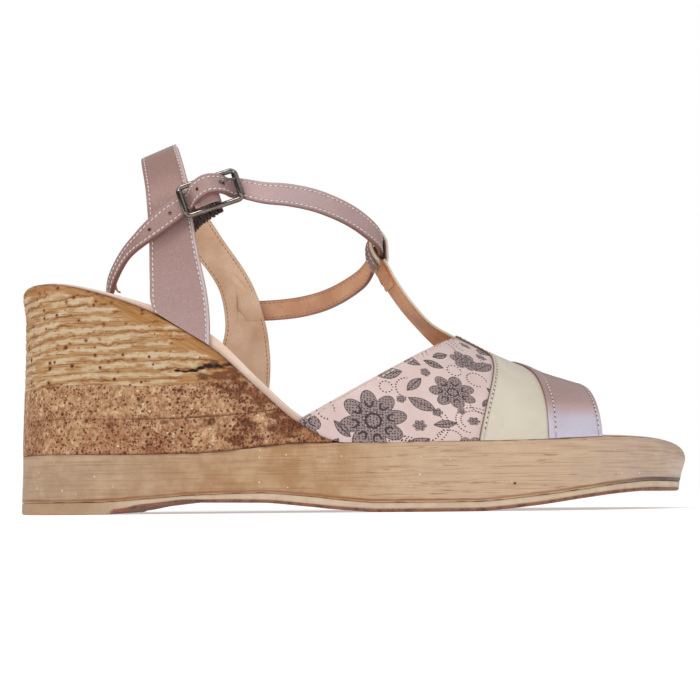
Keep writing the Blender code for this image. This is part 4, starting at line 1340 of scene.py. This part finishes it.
def make_insole(material):
    outline = Outline(step=1.1)
    floor = raised(seat, -0.05)
    edge = 0.9
    rows = [outline.row(insole_inset, floor, share) for share in LID]
    wall_top = raised(insole_top, -edge)
    rows += [outline.row(insole_inset, between(floor, wall_top, share)) for share in (0.0, 0.5)]
    for turn in np.linspace(0, math.pi / 2, 6):
        rows.append(outline.row(lambda x: insole_inset(x) + edge * (1 - math.cos(turn)),
                                raised(insole_top, edge * (math.sin(turn) - 1))))
    for inset in CUP_SIDE:
        share = eased(inset, edge, CUP_SIDE[-1])
        rows.append(outline.row(lambda x: insole_inset(x) + inset,
                                lambda x: insole_top(x) - insole_cup(x) * share))
    cup = lambda x: insole_top(x) - insole_cup(x)
    rows += [outline.row(lambda x: insole_inset(x) + CUP_SIDE[-1], cup, share) for share in CUP_FLOOR]
    rows = np.array(rows)
    edge_mark = 0.35 * (1 - eased(rows[..., 2] - seat(rows[..., 0]), 0.15, 0.8))
    piece = lay_grid("insole_cover", rows, edge=edge_mark)
    weld(piece)
    return finish(piece, material, "insole", "insole")


# The vamp

def last_point(x, t):
    """Point on the outside of the vamp: t runs from the outer base, over the ridge, to the inner base."""
    inset = SIDE_LEAN * seat(x) + MARGIN
    turn = math.pi * (1 - t)
    lean = np.cos(turn)
    across = np.sign(lean) * np.abs(lean) ** (2 / SECTION_POWER)
    rise = np.maximum(0.0, np.sin(turn)) ** (2 / SECTION_POWER)
    base = seat(x) + SEAT_GAP
    ridge = through(RIDGE, 1, x)
    y = middle(x) + RIDGE_SHIFT * rise + across * (half_width(x) - inset)
    return np.stack((x, y, base + rise * (ridge - base)), -1)


def rear_edge(t):
    """x of the vamp's rear cut on each section line, found by halving."""
    low_end = float(seat(np.array(VAMP_REAR_BASE))) + SEAT_GAP
    high_end = float(through(RIDGE, 1, VAMP_REAR_TOP))
    low, high = np.full_like(t, VAMP_REAR_BASE), np.full_like(t, VAMP_REAR_TOP)
    for _ in range(40):
        x = (low + high) / 2
        cut = low_end + (high_end - low_end) * (x - VAMP_REAR_BASE) / (VAMP_REAR_TOP - VAMP_REAR_BASE)
        over = last_point(x, t)[..., 2] > cut
        low, high = np.where(over, x, low), np.where(over, high, x)
    return (low + high) / 2


def cream_edge(t):
    """Rear edge of the cream band, which runs back over the ridge to the T-bar."""
    return np.maximum(through(CREAM_EDGE, 1, np.minimum(t, 1 - t)), rear_edge(t) - CREAM_OVERHANG)


def toe_edge(t):
    return through(TOE_EDGE, 1, np.minimum(t, 1 - t))


def front_edge(t):
    return np.full_like(t, VAMP_FRONT)


def vamp_out(x, t):
    """Outward direction of the vamp."""
    step = 0.004
    t = np.clip(t, step, 1 - step)
    ahead = last_point(x + 0.2, t) - last_point(x - 0.2, t)
    around = last_point(x, t + step) - last_point(x, t - step)
    out = np.cross(ahead, around)
    return out / np.linalg.norm(out, axis=-1)[..., None]


AROUND = np.concatenate(([0.0, 0.0], np.linspace(0.0, 1.0, 201), [1.0, 1.0]))


def vamp_rows(start, end, columns, lift):
    """Places of a panel between two edges, and its map in millimetres."""
    t = AROUND[:, None]
    x = start(t) + (end(t) - start(t)) * np.linspace(0, 1, columns)[None]
    t = np.broadcast_to(t, x.shape)
    from_start, from_end = x - start(t), end(t) - x
    places = last_point(x, t) + vamp_out(x, t) * lift(from_start, from_end)[..., None]
    for row, share in ((0, 1.0), (1, 0.5), (-2, 0.5), (-1, 1.0)):
        places[row, :, 2] -= SUNK * share
    run = np.linalg.norm(np.diff(places[:, columns // 2], axis=0), axis=1)
    run = np.concatenate(([0], np.cumsum(run)))
    run -= run[-1] / 2
    uv = np.stack((x, np.broadcast_to(run[:, None], x.shape)), -1)
    return places, uv, from_start, from_end


def seam_mark(distance, at=STITCH_EDGE, wide=0.32):
    return np.exp(-((distance - at) / wide) ** 2)


def make_vamp(printed, cream, mauve, lining, edging):
    """Printed panel, cream band and toe band over one lining."""
    def flat(from_start, from_end):
        return -0.1 * seam_mark(from_start)

    def lapped(from_start, from_end):
        return 0.65 - 0.35 * eased(from_start, 2.5, 7.0) - 0.12 * seam_mark(from_start)

    def toe_lap(from_start, from_end):
        pillow = 0.2 * eased(from_start, 0.0, 0.8) * eased(from_end, 0.0, 0.8)
        return 0.9 - 0.3 * eased(from_start, 3.0, 8.0) + pillow - 0.14 * (
            seam_mark(from_start, TOE_SEAM) + seam_mark(from_end, FRONT_SEAM))

    def inside(from_start, from_end):
        return np.full_like(from_start, -LINING_DEPTH)

    cream_under = lambda t: cream_edge(t) + PANEL_LAP
    toe_under = lambda t: toe_edge(t) + PANEL_LAP
    lining_rear = lambda t: rear_edge(t) + LINING_SHORT
    lining_front = lambda t: front_edge(t) - LINING_SHORT
    # Each panel's name, edges, columns, lift, thickness, bevel, material and seams at its rear and front
    panels = (
        ("vamp_printed_panel", rear_edge, cream_under, 90, flat, 1.1, 0.35, printed, STITCH_EDGE, None),
        ("vamp_cream_band", cream_edge, toe_under, 40, lapped, 0.75, 0.2, cream, STITCH_EDGE, None),
        ("vamp_toe_band", toe_edge, front_edge, 48, toe_lap, 0.95, 0.4, mauve, TOE_SEAM, FRONT_SEAM),
        ("vamp_lining", lining_rear, lining_front, 90, inside, 0.8, 0.25, lining, None, None),
    )
    for name, start, end, columns, lift, thick, bevel, material, rear_seam, front_seam in panels:
        places, uv, from_start, from_end = vamp_rows(start, end, columns, lift)
        # Painted shade along the stitch lines
        seam = np.zeros(from_start.shape)
        if rear_seam:
            seam = seam_mark(from_start, rear_seam, 0.25)
        if front_seam:
            seam = np.maximum(seam, seam_mark(from_end, front_seam, 0.25))
        edge = 0.8 * (1 - eased(from_start, 0.15, 0.45))
        # Painted sheen by height: lilac low on the toe band, browner higher up
        pearl = through(TOE_PAINTED_SHEEN, 1, places[..., 2])
        piece = lay_grid(name, places, uv, seam=seam, edge=edge, pearl=pearl)
        thicken(piece, thick, bevel)
        nodes = ("upper_vamp",) if name == "vamp_printed_panel" else ()
        finish(piece, material, "vamp_leather", *nodes)
    t = AROUND[2:-2]
    out = vamp_out(cream_edge(t), t)
    bead = last_point(cream_edge(t), t) + out * BEAD_LIFT
    finish(tube("vamp_edge_bead", bead, BEAD_RADIUS, sides=8, normal=out), edging, "vamp_leather")


def vamp_stitches(edge, inset, lift):
    """Line of a stitch row along a panel's edge: places and outward directions."""
    t = np.linspace(0.012, 0.988, 400)
    x = edge(t)
    line, out = last_point(x, t), vamp_out(x, t)
    along = np.gradient(line, axis=0)
    along /= np.linalg.norm(along, axis=1)[:, None]
    return line + np.cross(along, out) * inset + out * lift, out


# Straps

class Strap:
    """Run of a strap through its folds: middles, directions across and outwards, half widths and lengths."""

    def __init__(self, folds, outward, closed=False, square=True, step=0.8):
        values = np.array([(*fold[:4], *fold[4]) for fold in folds], float)
        count = len(values)
        rows = []
        shares = np.linspace(0, 1, 24, endpoint=False)[:, None]
        for at in range(count if closed else count - 1):
            near = [at - 1, at, at + 1, at + 2]
            near = [i % count for i in near] if closed else [min(max(i, 0), count - 1) for i in near]
            a, b, c, d = values[near]
            rows.append(0.5 * (2 * b + (c - a) * shares + (2 * a - 5 * b + 4 * c - d) * shares ** 2
                               + (3 * b - a - 3 * c + d) * shares ** 3))
        rows = np.concatenate(rows + [values[:1] if closed else values[-1:]])
        run = np.concatenate(([0], np.cumsum(np.linalg.norm(np.diff(rows[:, :3], axis=0), axis=1))))
        self.length = np.linspace(0, run[-1], int(run[-1] / step) + 1)
        rows = np.stack([np.interp(self.length, run, column) for column in rows.T], 1)
        self.middle, self.half = rows[:, :3], rows[:, 3] / 2
        ahead = np.gradient(self.middle, axis=0)
        if closed:
            ahead[0] = ahead[-1] = self.middle[1] - self.middle[-2]
        ahead /= np.linalg.norm(ahead, axis=1)[:, None]
        face = np.cross(ahead, rows[:, 4:])
        face /= np.linalg.norm(face, axis=1)[:, None]
        across = np.cross(face, ahead) if square else rows[:, 4:]
        self.across = across / np.linalg.norm(across, axis=1)[:, None]
        self.out = face * outward
        self.outward = outward

    def sheet(self, lift, columns, creases=()):
        """Places of a sheet at a lift that may follow the distance to the edge, its map and that distance."""
        share = np.linspace(-1, 1, columns)
        if self.outward > 0:
            share = share[::-1]
        aside = share[None] * self.half[:, None]
        edge = self.half[:, None] - np.abs(aside)
        height = lift(edge) if callable(lift) else np.full(edge.shape, lift)
        height = height + self.creased(aside, creases)
        places = self.middle[:, None] + self.across[:, None] * aside[..., None]
        places = places + self.out[:, None] * height[..., None]
        uv = np.stack((np.broadcast_to(self.length[:, None], aside.shape), aside), -1)
        return places, uv, edge

    def creased(self, aside, creases):
        """Outward height of soft creases at places across the strap."""
        height = np.zeros(aside.shape)
        for at, across, lean, long_side, wide, rise in creases:
            along = self.length[:, None] - self.length[-1] * at
            off = aside - across - lean * along
            height += rise * np.exp(-(along / long_side) ** 2 - (off / wide) ** 2)
        return height

    def line(self, side, inset, lift):
        """Places along an edge, at an inset and a lift, with outward directions."""
        aside = self.across * (side * (self.half - inset))[:, None]
        return self.middle + aside + self.out * lift, self.out


def strap_layers(name, strap, thick, outer, lining, slot, node=None, stitched=True, pearl=0.0,
                 creases=(), raw=1.0, sheen=0.0, lip=0.0, under_edge=0.0):
    """Outer leather and lining of a strap, with its stitch lines and creases.

    raw says how far the lining's cut edge shows, sheen paints a highlight along the front edge and lip
    widens the lining there, and under_edge darkens the other one.
    """
    columns = int(2 * strap.half.max() / 0.42) + 1
    split = -0.15 * thick

    def crowned(edge):
        pillow = 0.1 * eased(edge, 0.0, 0.9)
        return thick / 2 - 0.1 + pillow - (0.12 * seam_mark(edge) if stitched else 0.0)

    places, uv, edge = strap.sheet(crowned, columns, creases)
    # Painted shade along both stitch lines
    seam = seam_mark(edge, wide=0.25) if stitched else np.zeros(edge.shape)
    front = uv[..., 1] > 0
    # Painted highlight along the rolled front edge, added to the pearl and sheen share
    painted_edge_highlight = sheen * front * np.exp(-((edge - 0.3) / 0.5) ** 2)
    shaded = under_edge * (uv[..., 1] < 0) * (1 - eased(edge, 0.2, 0.65))
    top = lay_grid(name, places, uv, seam=seam, edge=shaded, pearl=pearl + painted_edge_highlight)
    thicken(top, thick / 2 - split, 0.36)
    places, uv, edge = strap.sheet(split - 0.02, columns, creases)
    reach = lip * eased(uv[..., 1] / strap.half[:, None], 0.7, 1.0)
    places += strap.across[:, None] * reach[..., None]
    # Painted shade in the crease troughs, stored with the lining's cut edge
    shade = np.clip(strap.creased(uv[..., 1], creases), 0.0, 0.5)
    under = lay_grid(name + "_lining", places, uv, edge=np.maximum(raw * (1 - eased(edge, 0.2, 0.6)), shade))
    thicken(under, thick / 2 + split - 0.02, 0.18)
    finish(top, outer, slot, *((node,) if node else ()))
    finish(under, lining, slot)
    return top, under


def foot_fold(x, side):
    """End of a back strap leg, laid along the wedge slope just inside its edge."""
    reach = 4.0
    slope = float(slope_top(np.array(x + reach)) - slope_top(np.array(x - reach))) / (2 * reach)
    inset = SIDE_LEAN * float(slope_top(np.array(x))) + MARGIN + BACK_STRAP_THICK / 2
    y = float(middle(np.array(x))) + side * (float(half_width(np.array(x))) - inset)
    return (x, y, float(slope_top(np.array(x))) - 0.6, FOOT_WIDTH, (1, 0, slope))


def ankle_folds():
    weave = [(*buckle_point(*spot), STRAP_WIDTH, BUCKLE_UP) for spot in BUCKLE_WEAVE]
    return (*ANKLE_BEFORE, *weave, *ANKLE_AFTER)


def round_tip(strap, reach, share):
    """Draw in the loose end of a strap to a rounded tip."""
    left = strap.length[-1] - strap.length
    near = 1 - np.clip(left / reach, 0, 1)
    strap.half = strap.half * (share + (1 - share) * np.sqrt(np.clip(1 - near ** 2, 0, 1)))


def punch(strap, x, sheets):
    """Hole through the sheets of a strap, where its outer run passes x."""
    at = int(np.argmin(np.abs(strap.middle[:, 0] - x) + 1000.0 * (strap.middle[:, 1] > 0)))
    bpy.ops.object.select_all(action="DESELECT")
    bpy.ops.mesh.primitive_cylinder_add(vertices=20, radius=PUNCH_RADIUS * MM, depth=4 * STRAP_THICK * MM)
    tool = bpy.context.active_object
    frame_ways = np.stack((strap.across[at], np.cross(strap.out[at], strap.across[at]), strap.out[at]), 1)
    tool.matrix_world = Matrix.Translation(strap.middle[at] * MM) @ Matrix(frame_ways.tolist()).to_4x4()
    for sheet in sheets:
        change(sheet, "BOOLEAN", operation="DIFFERENCE", object=tool)
    bpy.data.objects.remove(tool)


# Stitches

def stitch_master(size):
    """One stitch: its points and faces, modelled once."""
    bpy.ops.object.select_all(action="DESELECT")
    bpy.ops.mesh.primitive_uv_sphere_add(segments=8, ring_count=6, radius=0.5)
    master = bpy.context.active_object
    bpy.ops.object.mode_set(mode="EDIT")
    bpy.ops.mesh.select_all(action="SELECT")
    bpy.ops.transform.rotate(value=math.pi / 2, orient_axis="Y", center_override=(0, 0, 0))
    bpy.ops.transform.resize(value=size)
    bpy.ops.object.mode_set(mode="OBJECT")
    points = np.array([vertex.co for vertex in master.data.vertices])
    faces = [tuple(face.vertices) for face in master.data.polygons]
    bpy.data.objects.remove(master)
    return points, faces


def sew(name, rows, material, slot, size=STITCH_SIZE, start=0.5):
    """Rows of stitches, joined in one piece; start is the first one's place as a share of the pitch."""
    points, faces = stitch_master(size)
    placed, joined = [], []
    for line, out in rows:
        run = np.concatenate(([0], np.cumsum(np.linalg.norm(np.diff(line, axis=0), axis=1))))
        at = np.arange(STITCH_PITCH * start, run[-1] - STITCH_PITCH / 2, STITCH_PITCH)
        centre = np.stack([np.interp(at, run, column) for column in line.T], 1)
        ahead = np.stack([np.interp(at + 0.4, run, c) - np.interp(at - 0.4, run, c) for c in line.T], 1)
        ahead /= np.linalg.norm(ahead, axis=1)[:, None]
        up = np.stack([np.interp(at, run, column) for column in out.T], 1)
        side = np.cross(up, ahead)
        side /= np.linalg.norm(side, axis=1)[:, None]
        ahead = ahead + side * STITCH_SLANT
        up = np.cross(ahead, side)
        for middle_point, x_way, y_way, z_way in zip(centre, ahead, side, up):
            base = len(placed) * len(points)
            placed.append(middle_point + points @ np.stack((x_way, y_way, z_way)))
            joined += [tuple(base + i for i in face) for face in faces]
    mesh = bpy.data.meshes.new(name)
    mesh.from_pydata((np.concatenate(placed) * MM).tolist(), [], joined)
    piece = bpy.data.objects.new(name, mesh)
    bpy.context.scene.collection.objects.link(piece)
    return finish(piece, material, slot)


# Buckle

def buckle_point(along, up, out):
    """Point given along the buckle, up its short side and out from its plane."""
    return BUCKLE + along * BUCKLE_ALONG + up * BUCKLE_UP + out * BUCKLE_OUT


def make_buckle(material):
    """Wire frame with its centre bar, and the prong that passes through the strap."""
    points, radii = [], []
    along, up = FRAME_LONG / 2 - FRAME_CORNER, FRAME_SHORT / 2 - FRAME_CORNER
    for quarter, (side, rise) in enumerate(((1, 1), (-1, 1), (-1, -1), (1, -1))):
        for step in range(9):
            turn = math.pi / 2 * (quarter + step / 8)
            points.append(buckle_point(side * along + FRAME_CORNER * math.cos(turn),
                                       rise * up + FRAME_CORNER * math.sin(turn), 0))
            radii.append(FRAME_WIRE + (END_WIRE - FRAME_WIRE) * math.cos(turn) ** 8)
    ring = tube("buckle_wire", points, radii, closed=True, sides=16)
    upright = [buckle_point(0, share * FRAME_SHORT / 2, 0) for share in np.linspace(-1, 1, 9)]
    bar = tube("buckle_bar", upright, CENTRE_BAR, sides=14)
    select_only(ring, bar)
    bpy.ops.object.join()
    finish(ring, material, "buckle", "buckle_frame")
    knots = np.array(PRONG)
    fine = np.linspace(0, len(knots) - 1, 40)
    rows = np.column_stack((np.arange(len(knots)), knots))
    path = [buckle_point(float(through(rows, 1, s)), PRONG_UP, float(through(rows, 2, s))) for s in fine]
    radii = PRONG_WIRE * (1 - 0.35 * eased(fine, 3.5, 5.0))
    prong = tube("buckle_tongue", path, radii, sides=12, normal=(0.3, 0.0, 0.95))
    eye = [buckle_point(EYE_RADIUS * math.cos(turn), PRONG_UP, EYE_RADIUS * math.sin(turn) - EYE_DROP)
           for turn in np.linspace(0, 2 * math.pi, 20, endpoint=False)]
    coil = tube("buckle_eye", eye, PRONG_WIRE, closed=True, sides=10, normal=(0, 0, 1))
    select_only(prong, coil)
    bpy.ops.object.join()
    finish(prong, material, "buckle", "buckle_prong")


def make_elastic(material, mauve):
    """Gathered elastic, and the leather tab that folds around the buckle's centre bar."""
    strap = Strap(ELASTIC, 1.0, step=0.25)
    places, uv, _ = strap.sheet(0.3, 25)
    run, aside = uv[..., 0], uv[..., 1]
    turn = 2 * math.pi * run / GATHER_PITCH
    gather = np.sin(turn + 0.8 * np.sin(aside * 1.1)) * 0.28
    gather += 0.14 * np.sin(2 * math.pi * (run / 0.9 + aside / 5.0))
    places += strap.out[:, None] * gather[..., None]
    places += strap.across[:, None] * (0.2 * np.sin(turn + 1.0) * aside / 3.0)[..., None]
    piece = lay_grid("gathered_elastic", places, uv)
    thicken(piece, 1.0, 0.2)
    finish(piece, material, "elastic", "buckle_elastic")
    tab = Strap([(*buckle_point(*spot), TAB_WIDTH, BUCKLE_UP) for spot in TAB], -1.0, step=0.3)
    places, uv, edge = tab.sheet(0.5, 21)
    # Painted shade along a line across the tab
    seam = np.exp(-((uv[..., 0] - 2.2) / 0.3) ** 2)
    piece = lay_grid("buckle_tab", places, uv, seam=seam, pearl=np.full_like(edge, 0.25))
    thicken(piece, 1.0, 0.3)
    finish(piece, mauve, "elastic")


# Stage, in metres
FLOOR_SIZE = 60.0
FLOOR_GLOW = 0.42
LIGHT_AIM = (0, 0, 0.05)


def make_floor():
    bpy.ops.object.select_all(action="DESELECT")
    bpy.ops.mesh.primitive_plane_add(size=FLOOR_SIZE, location=(0, 0, 0))
    floor = bpy.context.active_object
    floor.name = "floor"
    material, tree, shader = start_material("pale_floor", 0.8, Emission_Strength=FLOOR_GLOW)
    shader.inputs["Emission Color"].default_value = (1.0, 1.0, 1.0, 1.0)
    tone = cloud(tree, place(tree), 3.0, 2.0)
    link(tree, shader, Base_Color=blend(tree, tone, srgb(246, 245, 243), srgb(250, 249, 248)))
    floor.data.materials.append(material)


def make_light(name, at, size, power, colour):
    data = bpy.data.lights.new(name, "AREA")
    data.shape = "DISK"
    data.size = size
    data.energy = power
    data.color = colour
    lamp = bpy.data.objects.new(name, data)
    bpy.context.scene.collection.objects.link(lamp)
    way = np.array(LIGHT_AIM) - np.array(at)
    pitch = math.atan2(math.hypot(way[0], way[1]), -way[2])
    lamp.location = at
    lamp.rotation_euler = Euler((pitch, 0, math.atan2(-way[0], way[1])))


# Light from all around; mirrors see it dark at the horizon and bright overhead
STUDIO_LIGHT = 0.62


def make_studio():
    scene = bpy.context.scene
    scene.view_settings.view_transform = "Standard"
    world = bpy.data.worlds.new("white_studio")
    scene.world = world
    world.use_nodes = True
    tree = world.node_tree
    back = tree.nodes["Background"]
    ray = tree.nodes.new("ShaderNodeLightPath").outputs
    even = calc(tree, "MULTIPLY_ADD", ray["Is Camera Ray"], 1.0 - STUDIO_LIGHT, STUDIO_LIGHT)
    upward = put(tree, "SeparateXYZ", {0: put(tree, "TexCoord").outputs["Generated"]}).outputs[2]
    overhead = calc(tree, "MULTIPLY_ADD", span(tree, upward, 0.25, 0.6), 0.75, 0.12 - STUDIO_LIGHT)
    strength = calc(tree, "MULTIPLY_ADD", ray["Is Glossy Ray"], overhead, even)
    tree.links.new(strength, back.inputs["Strength"])
    back.inputs["Color"].default_value = (1.0, 1.0, 1.0, 1.0)
    make_floor()
    make_light("soft_key", (-0.5, -0.9, 1.1), 0.5, 6.0, (1.0, 0.96, 0.9))
    make_light("front_fill", (0.5, -1.2, 0.35), 1.0, 1.6, (0.9, 0.94, 1.0))


def make_camera():
    data = bpy.data.cameras.new("photo_camera")
    data.lens = CAMERA_LENS
    data.sensor_width = 36.0
    data.clip_start = 0.01
    camera = bpy.data.objects.new("photo_camera", data)
    bpy.context.scene.collection.objects.link(camera)
    turn = Matrix.Rotation(CAMERA_PITCH, 4, "X") @ Matrix.Rotation(CAMERA_ROLL, 4, "Z")
    camera.matrix_world = Matrix.Translation(CAMERA_PLACE) @ turn
    bpy.context.scene.camera = camera


# Lift of the loop's cover over the loop
COVER_LIFT = 0.75


def make_tbar(cream, suede, shaded_lining, mauve):
    """T-bar with its loop, the loop's rough end and its sewn cover, whose run is given back."""
    bar = Strap(TBAR, 1.0)
    strap_layers("tbar_strap", bar, TBAR_THICK, cream, suede, "vamp_leather", stitched=False, raw=0.3)
    loop = Strap(LOOP, 1.0, closed=True, step=0.5)
    # The loop's inside takes the lining painted dark as shade
    strap_layers("tbar_loop", loop, TBAR_THICK, cream, shaded_lining, "vamp_leather", stitched=False, raw=0.3)
    end = Strap(LOOP_END, 1.0, step=0.4)
    places, uv, edge = end.sheet(0.0, 27)
    places += end.out[:, None] * (0.35 * field(places, (1.6, 1.6, 1.6)))[..., None]
    piece = lay_grid("tbar_loop_end", places, uv, edge=0.5 * (1 - eased(edge, 0.1, 0.7)))
    thicken(piece, 1.1, 0.3)
    finish(piece, suede, "vamp_leather")
    cover = Strap(LOOP_COVER, 1.0, step=0.5)
    places, uv, edge = cover.sheet(lambda edge: TBAR_THICK / 2 + COVER_LIFT - 0.12 * seam_mark(edge), 27)
    # Painted shade along the cover's stitch lines
    seam = seam_mark(edge, wide=0.25)
    piece = lay_grid("tbar_loop_cover", places, uv, seam=seam, pearl=np.zeros_like(edge))
    thicken(piece, 0.7, 0.25)
    finish(piece, mauve, "vamp_leather")
    return cover


def both_edges(strap, lift):
    """Lines of the stitches along both edges of a strap."""
    return [strap.line(side, STITCH_EDGE, lift) for side in (-1, 1)]


def make_shoe():
    cork_light, cork_dark = cork_material("cork_light", 0.1), cork_material("cork_dark", 0.5)
    insole = lining_leather_material("peach_insole", srgb(240, 218, 202), srgb(226, 196, 176))
    pale = lining_leather_material("pale_lining", srgb(234, 206, 181), srgb(208, 170, 138), 0.55)
    orange = lining_leather_material("orange_lining", srgb(216, 170, 138), srgb(184, 132, 98), 0.6)
    suede = lining_leather_material("rough_suede", srgb(222, 164, 112), srgb(166, 104, 58), 0.8)
    # Lining of the loop's inside, painted dark as the shade in it
    shaded_lining = lining_leather_material("loop_lining_painted_shade", srgb(126, 86, 60), srgb(96, 60, 42))
    mauve, cream = mauve_material(), cream_material()
    white = thread_material("white_thread", srgb(236, 228, 222), srgb(196, 182, 176))
    # Dark marks for the needle holes between the vamp's stitches: painted shade
    hole_shade = thread_material("needle_hole_shade", srgb(92, 70, 68), srgb(62, 46, 44))
    # Thread of the linings' stitches: pale thread darkened to tan with painted shade
    shaded_tan = thread_material("tan_thread_painted_shade", srgb(186, 146, 120), srgb(132, 92, 70))
    edging = thread_material("brown_edging", srgb(110, 76, 60), srgb(78, 50, 40))

    make_outsole(outsole_material())
    make_platform(pale_wood_material())
    make_cork_layer("wedge_cork_lower", LOWER_FRONT, raised(deck_top, JOINT), cork_joint, cork_dark,
                    LOWER_BURNS, LOWER_DENSE, "wedge_lower_layer")
    make_cork_layer("wedge_cork_upper", MIDDLE_FRONT, raised(cork_joint, JOINT), bark_joint, cork_light,
                    MIDDLE_BURNS, MIDDLE_DENSE, "wedge_middle_layer")
    make_bark_layer(bark_material())
    make_insole(insole)
    make_vamp(print_material(), cream, mauve, pale, edging)

    cover = make_tbar(cream, suede, shaded_lining, mauve)
    back = Strap((foot_fold(LATERAL_FOOT, -1), *BACK_STRAP, foot_fold(MEDIAL_FOOT, 1)), -1.0, square=False)
    # Painted sheen by height: more lilac low on the back strap
    painted_sheen_share = through(BACK_PAINTED_SHEEN, 1, back.middle[:, 2:])
    strap_layers("back_strap_leather", back, BACK_STRAP_THICK, mauve, pale, "strap_leather", "back_strap",
                 pearl=painted_sheen_share, creases=BACK_CREASES, raw=0.25, sheen=0.7, lip=0.2)
    ankle = Strap(ankle_folds(), -1.0, step=0.6)
    round_tip(ankle, 5.0, 0.35)
    # Painted sheen that changes along the ankle strap
    painted_sheen_share = through(ANKLE_PAINTED_SHEEN, 1, ankle.middle[:, :1])
    sheets = strap_layers("ankle_strap_leather", ankle, STRAP_THICK, mauve, orange, "strap_leather",
                          "ankle_strap", pearl=painted_sheen_share, under_edge=0.8)
    for x in PUNCHED:
        punch(ankle, x, sheets)

    back_lift, ankle_lift = BACK_STRAP_THICK / 2 - 0.05, STRAP_THICK / 2 - 0.05
    seams = ((cream_edge, STITCH_EDGE, 0.62), (toe_edge, TOE_SEAM, 1.08), (front_edge, -FRONT_SEAM, 0.78))
    rows = [vamp_stitches(rear_edge, STITCH_EDGE, 0.0)] + [vamp_stitches(*seam) for seam in seams]
    sew("vamp_stitches", rows, white, "vamp_leather")
    # Dark marks sunk between the vamp's stitches, painted shade of the needle holes
    rows = [vamp_stitches(edge, inset, lift - HOLE_DEPTH) for edge, inset, lift in seams]
    sew("vamp_needle_hole_shade", rows, hole_shade, "vamp_leather", HOLE_SIZE, 1.0)
    sew("loop_stitches", both_edges(cover, TBAR_THICK / 2 + 0.72), white, "vamp_leather")
    sew("back_strap_stitches", both_edges(back, back_lift), white, "strap_leather")
    sew("ankle_strap_stitches", both_edges(ankle, ankle_lift), white, "strap_leather")
    # Lining-side stitches in thread darkened with painted shade
    rows = both_edges(back, -back_lift - HOLE_DEPTH) + both_edges(ankle, -ankle_lift - HOLE_DEPTH)
    sew("lining_stitches", rows, shaded_tan, "strap_leather")
    curl = Strap(TAIL_CURL, -1.0, step=0.2)
    places, uv, edge = curl.sheet(0.0, 9)
    piece = lay_grid("tail_lining_curl", places, uv, edge=0.5 * (1 - eased(edge, 0.1, 0.4)))
    thicken(piece, 0.5, 0.15)
    finish(piece, orange, "strap_leather")
    make_buckle(gunmetal_material())
    make_elastic(elastic_material(), mauve)


make_camera()
make_studio()
make_shoe()
